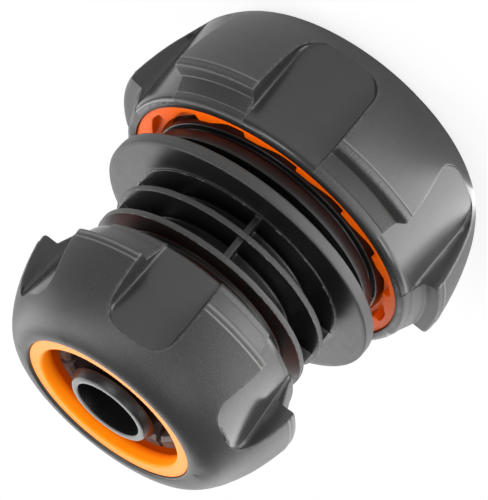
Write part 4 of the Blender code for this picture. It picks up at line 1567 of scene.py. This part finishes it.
def add_floor(studio):
    half = 0.5 * studio.floor_size
    corners = [(-half, -half, 0.0), (half, -half, 0.0), (half, half, 0.0), (-half, half, 0.0)]
    mesh = bpy.data.meshes.new("studio_floor")
    mesh.from_pydata(corners, [], [(0, 1, 2, 3)])
    mesh.materials.append(floor_material(studio))
    floor = bpy.data.objects.new("studio_floor", mesh)
    bpy.context.scene.collection.objects.link(floor)


def add_lamp(name, place, size, power, target=OBJECT_MIDDLE):
    """Soft lamp that faces the middle of the object, or another target."""
    data = bpy.data.lights.new(name, "AREA")
    data.shape = "RECTANGLE"
    data.size, data.size_y = size
    data.energy = power
    lamp = bpy.data.objects.new(name, data)
    bpy.context.scene.collection.objects.link(lamp)
    lamp.location = place
    lamp.rotation_euler = (Vector(place) - Vector(target)).to_track_quat("Z", "Y").to_euler()
    lamp.visible_camera = False


def add_camera(studio):
    data = bpy.data.cameras.new("studio_camera")
    data.lens = studio.lens
    data.sensor_width = CAMERA_SENSOR
    data.sensor_fit = "HORIZONTAL"
    data.clip_start, data.clip_end = CAMERA_RANGE
    camera = bpy.data.objects.new("studio_camera", data)
    bpy.context.scene.collection.objects.link(camera)
    tilt = Matrix.Rotation(0.5 * math.pi - studio.elevation, 4, "X")
    roll = Matrix.Rotation(studio.roll, 4, "Z")
    camera.matrix_world = Matrix.Translation(studio.place) @ tilt @ roll
    bpy.context.scene.camera = camera


class MENDER_OT_studio(bpy.types.Operator):
    """Set out the floor, the even light, the lamps and the camera"""

    bl_idname = "mender.studio"
    bl_label = "Studio"

    def execute(self, context):
        studio = settings().studio
        context.scene.view_settings.view_transform = "Standard"
        add_floor(studio)
        add_world(studio)
        for name, place, size, power in LAMPS:
            add_lamp(name, place, size, power)
        for name, (x, y), width, power in PANELS:
            add_lamp(name, (x, y, PANEL_HEIGHT), (width, width), power, (x, y, 1.0))
        add_camera(studio)
        return {"FINISHED"}


STEPS = (MENDER_OT_body, MENDER_OT_grips, MENDER_OT_inserts, MENDER_OT_collets, MENDER_OT_studio)


class MENDER_PT_panel(bpy.types.Panel):
    """Lists the pieces of the mender and the studio"""

    bl_label = "Hose mender"
    bl_idname = "MENDER_PT_panel"
    bl_space_type = "VIEW_3D"
    bl_region_type = "UI"
    bl_category = "Mender"

    def draw(self, context):
        for step in STEPS:
            self.layout.operator(step.bl_idname)


CLASSES = (
    SmallEndSizes,
    LargeEndSizes,
    BodySizes,
    Plastics,
    Studio,
    MenderSettings,
    *STEPS,
    MENDER_PT_panel,
)


def register():
    for cls in CLASSES:
        bpy.utils.register_class(cls)
    bpy.types.Scene.mender = bpy.props.PointerProperty(type=MenderSettings)


def unregister():
    del bpy.types.Scene.mender
    for cls in reversed(CLASSES):
        bpy.utils.unregister_class(cls)


def main():
    register()
    bpy.ops.mender.body()
    bpy.ops.mender.grips()
    bpy.ops.mender.inserts()
    bpy.ops.mender.collets()
    bpy.ops.mender.studio()


if __name__ == "__main__":
    main()
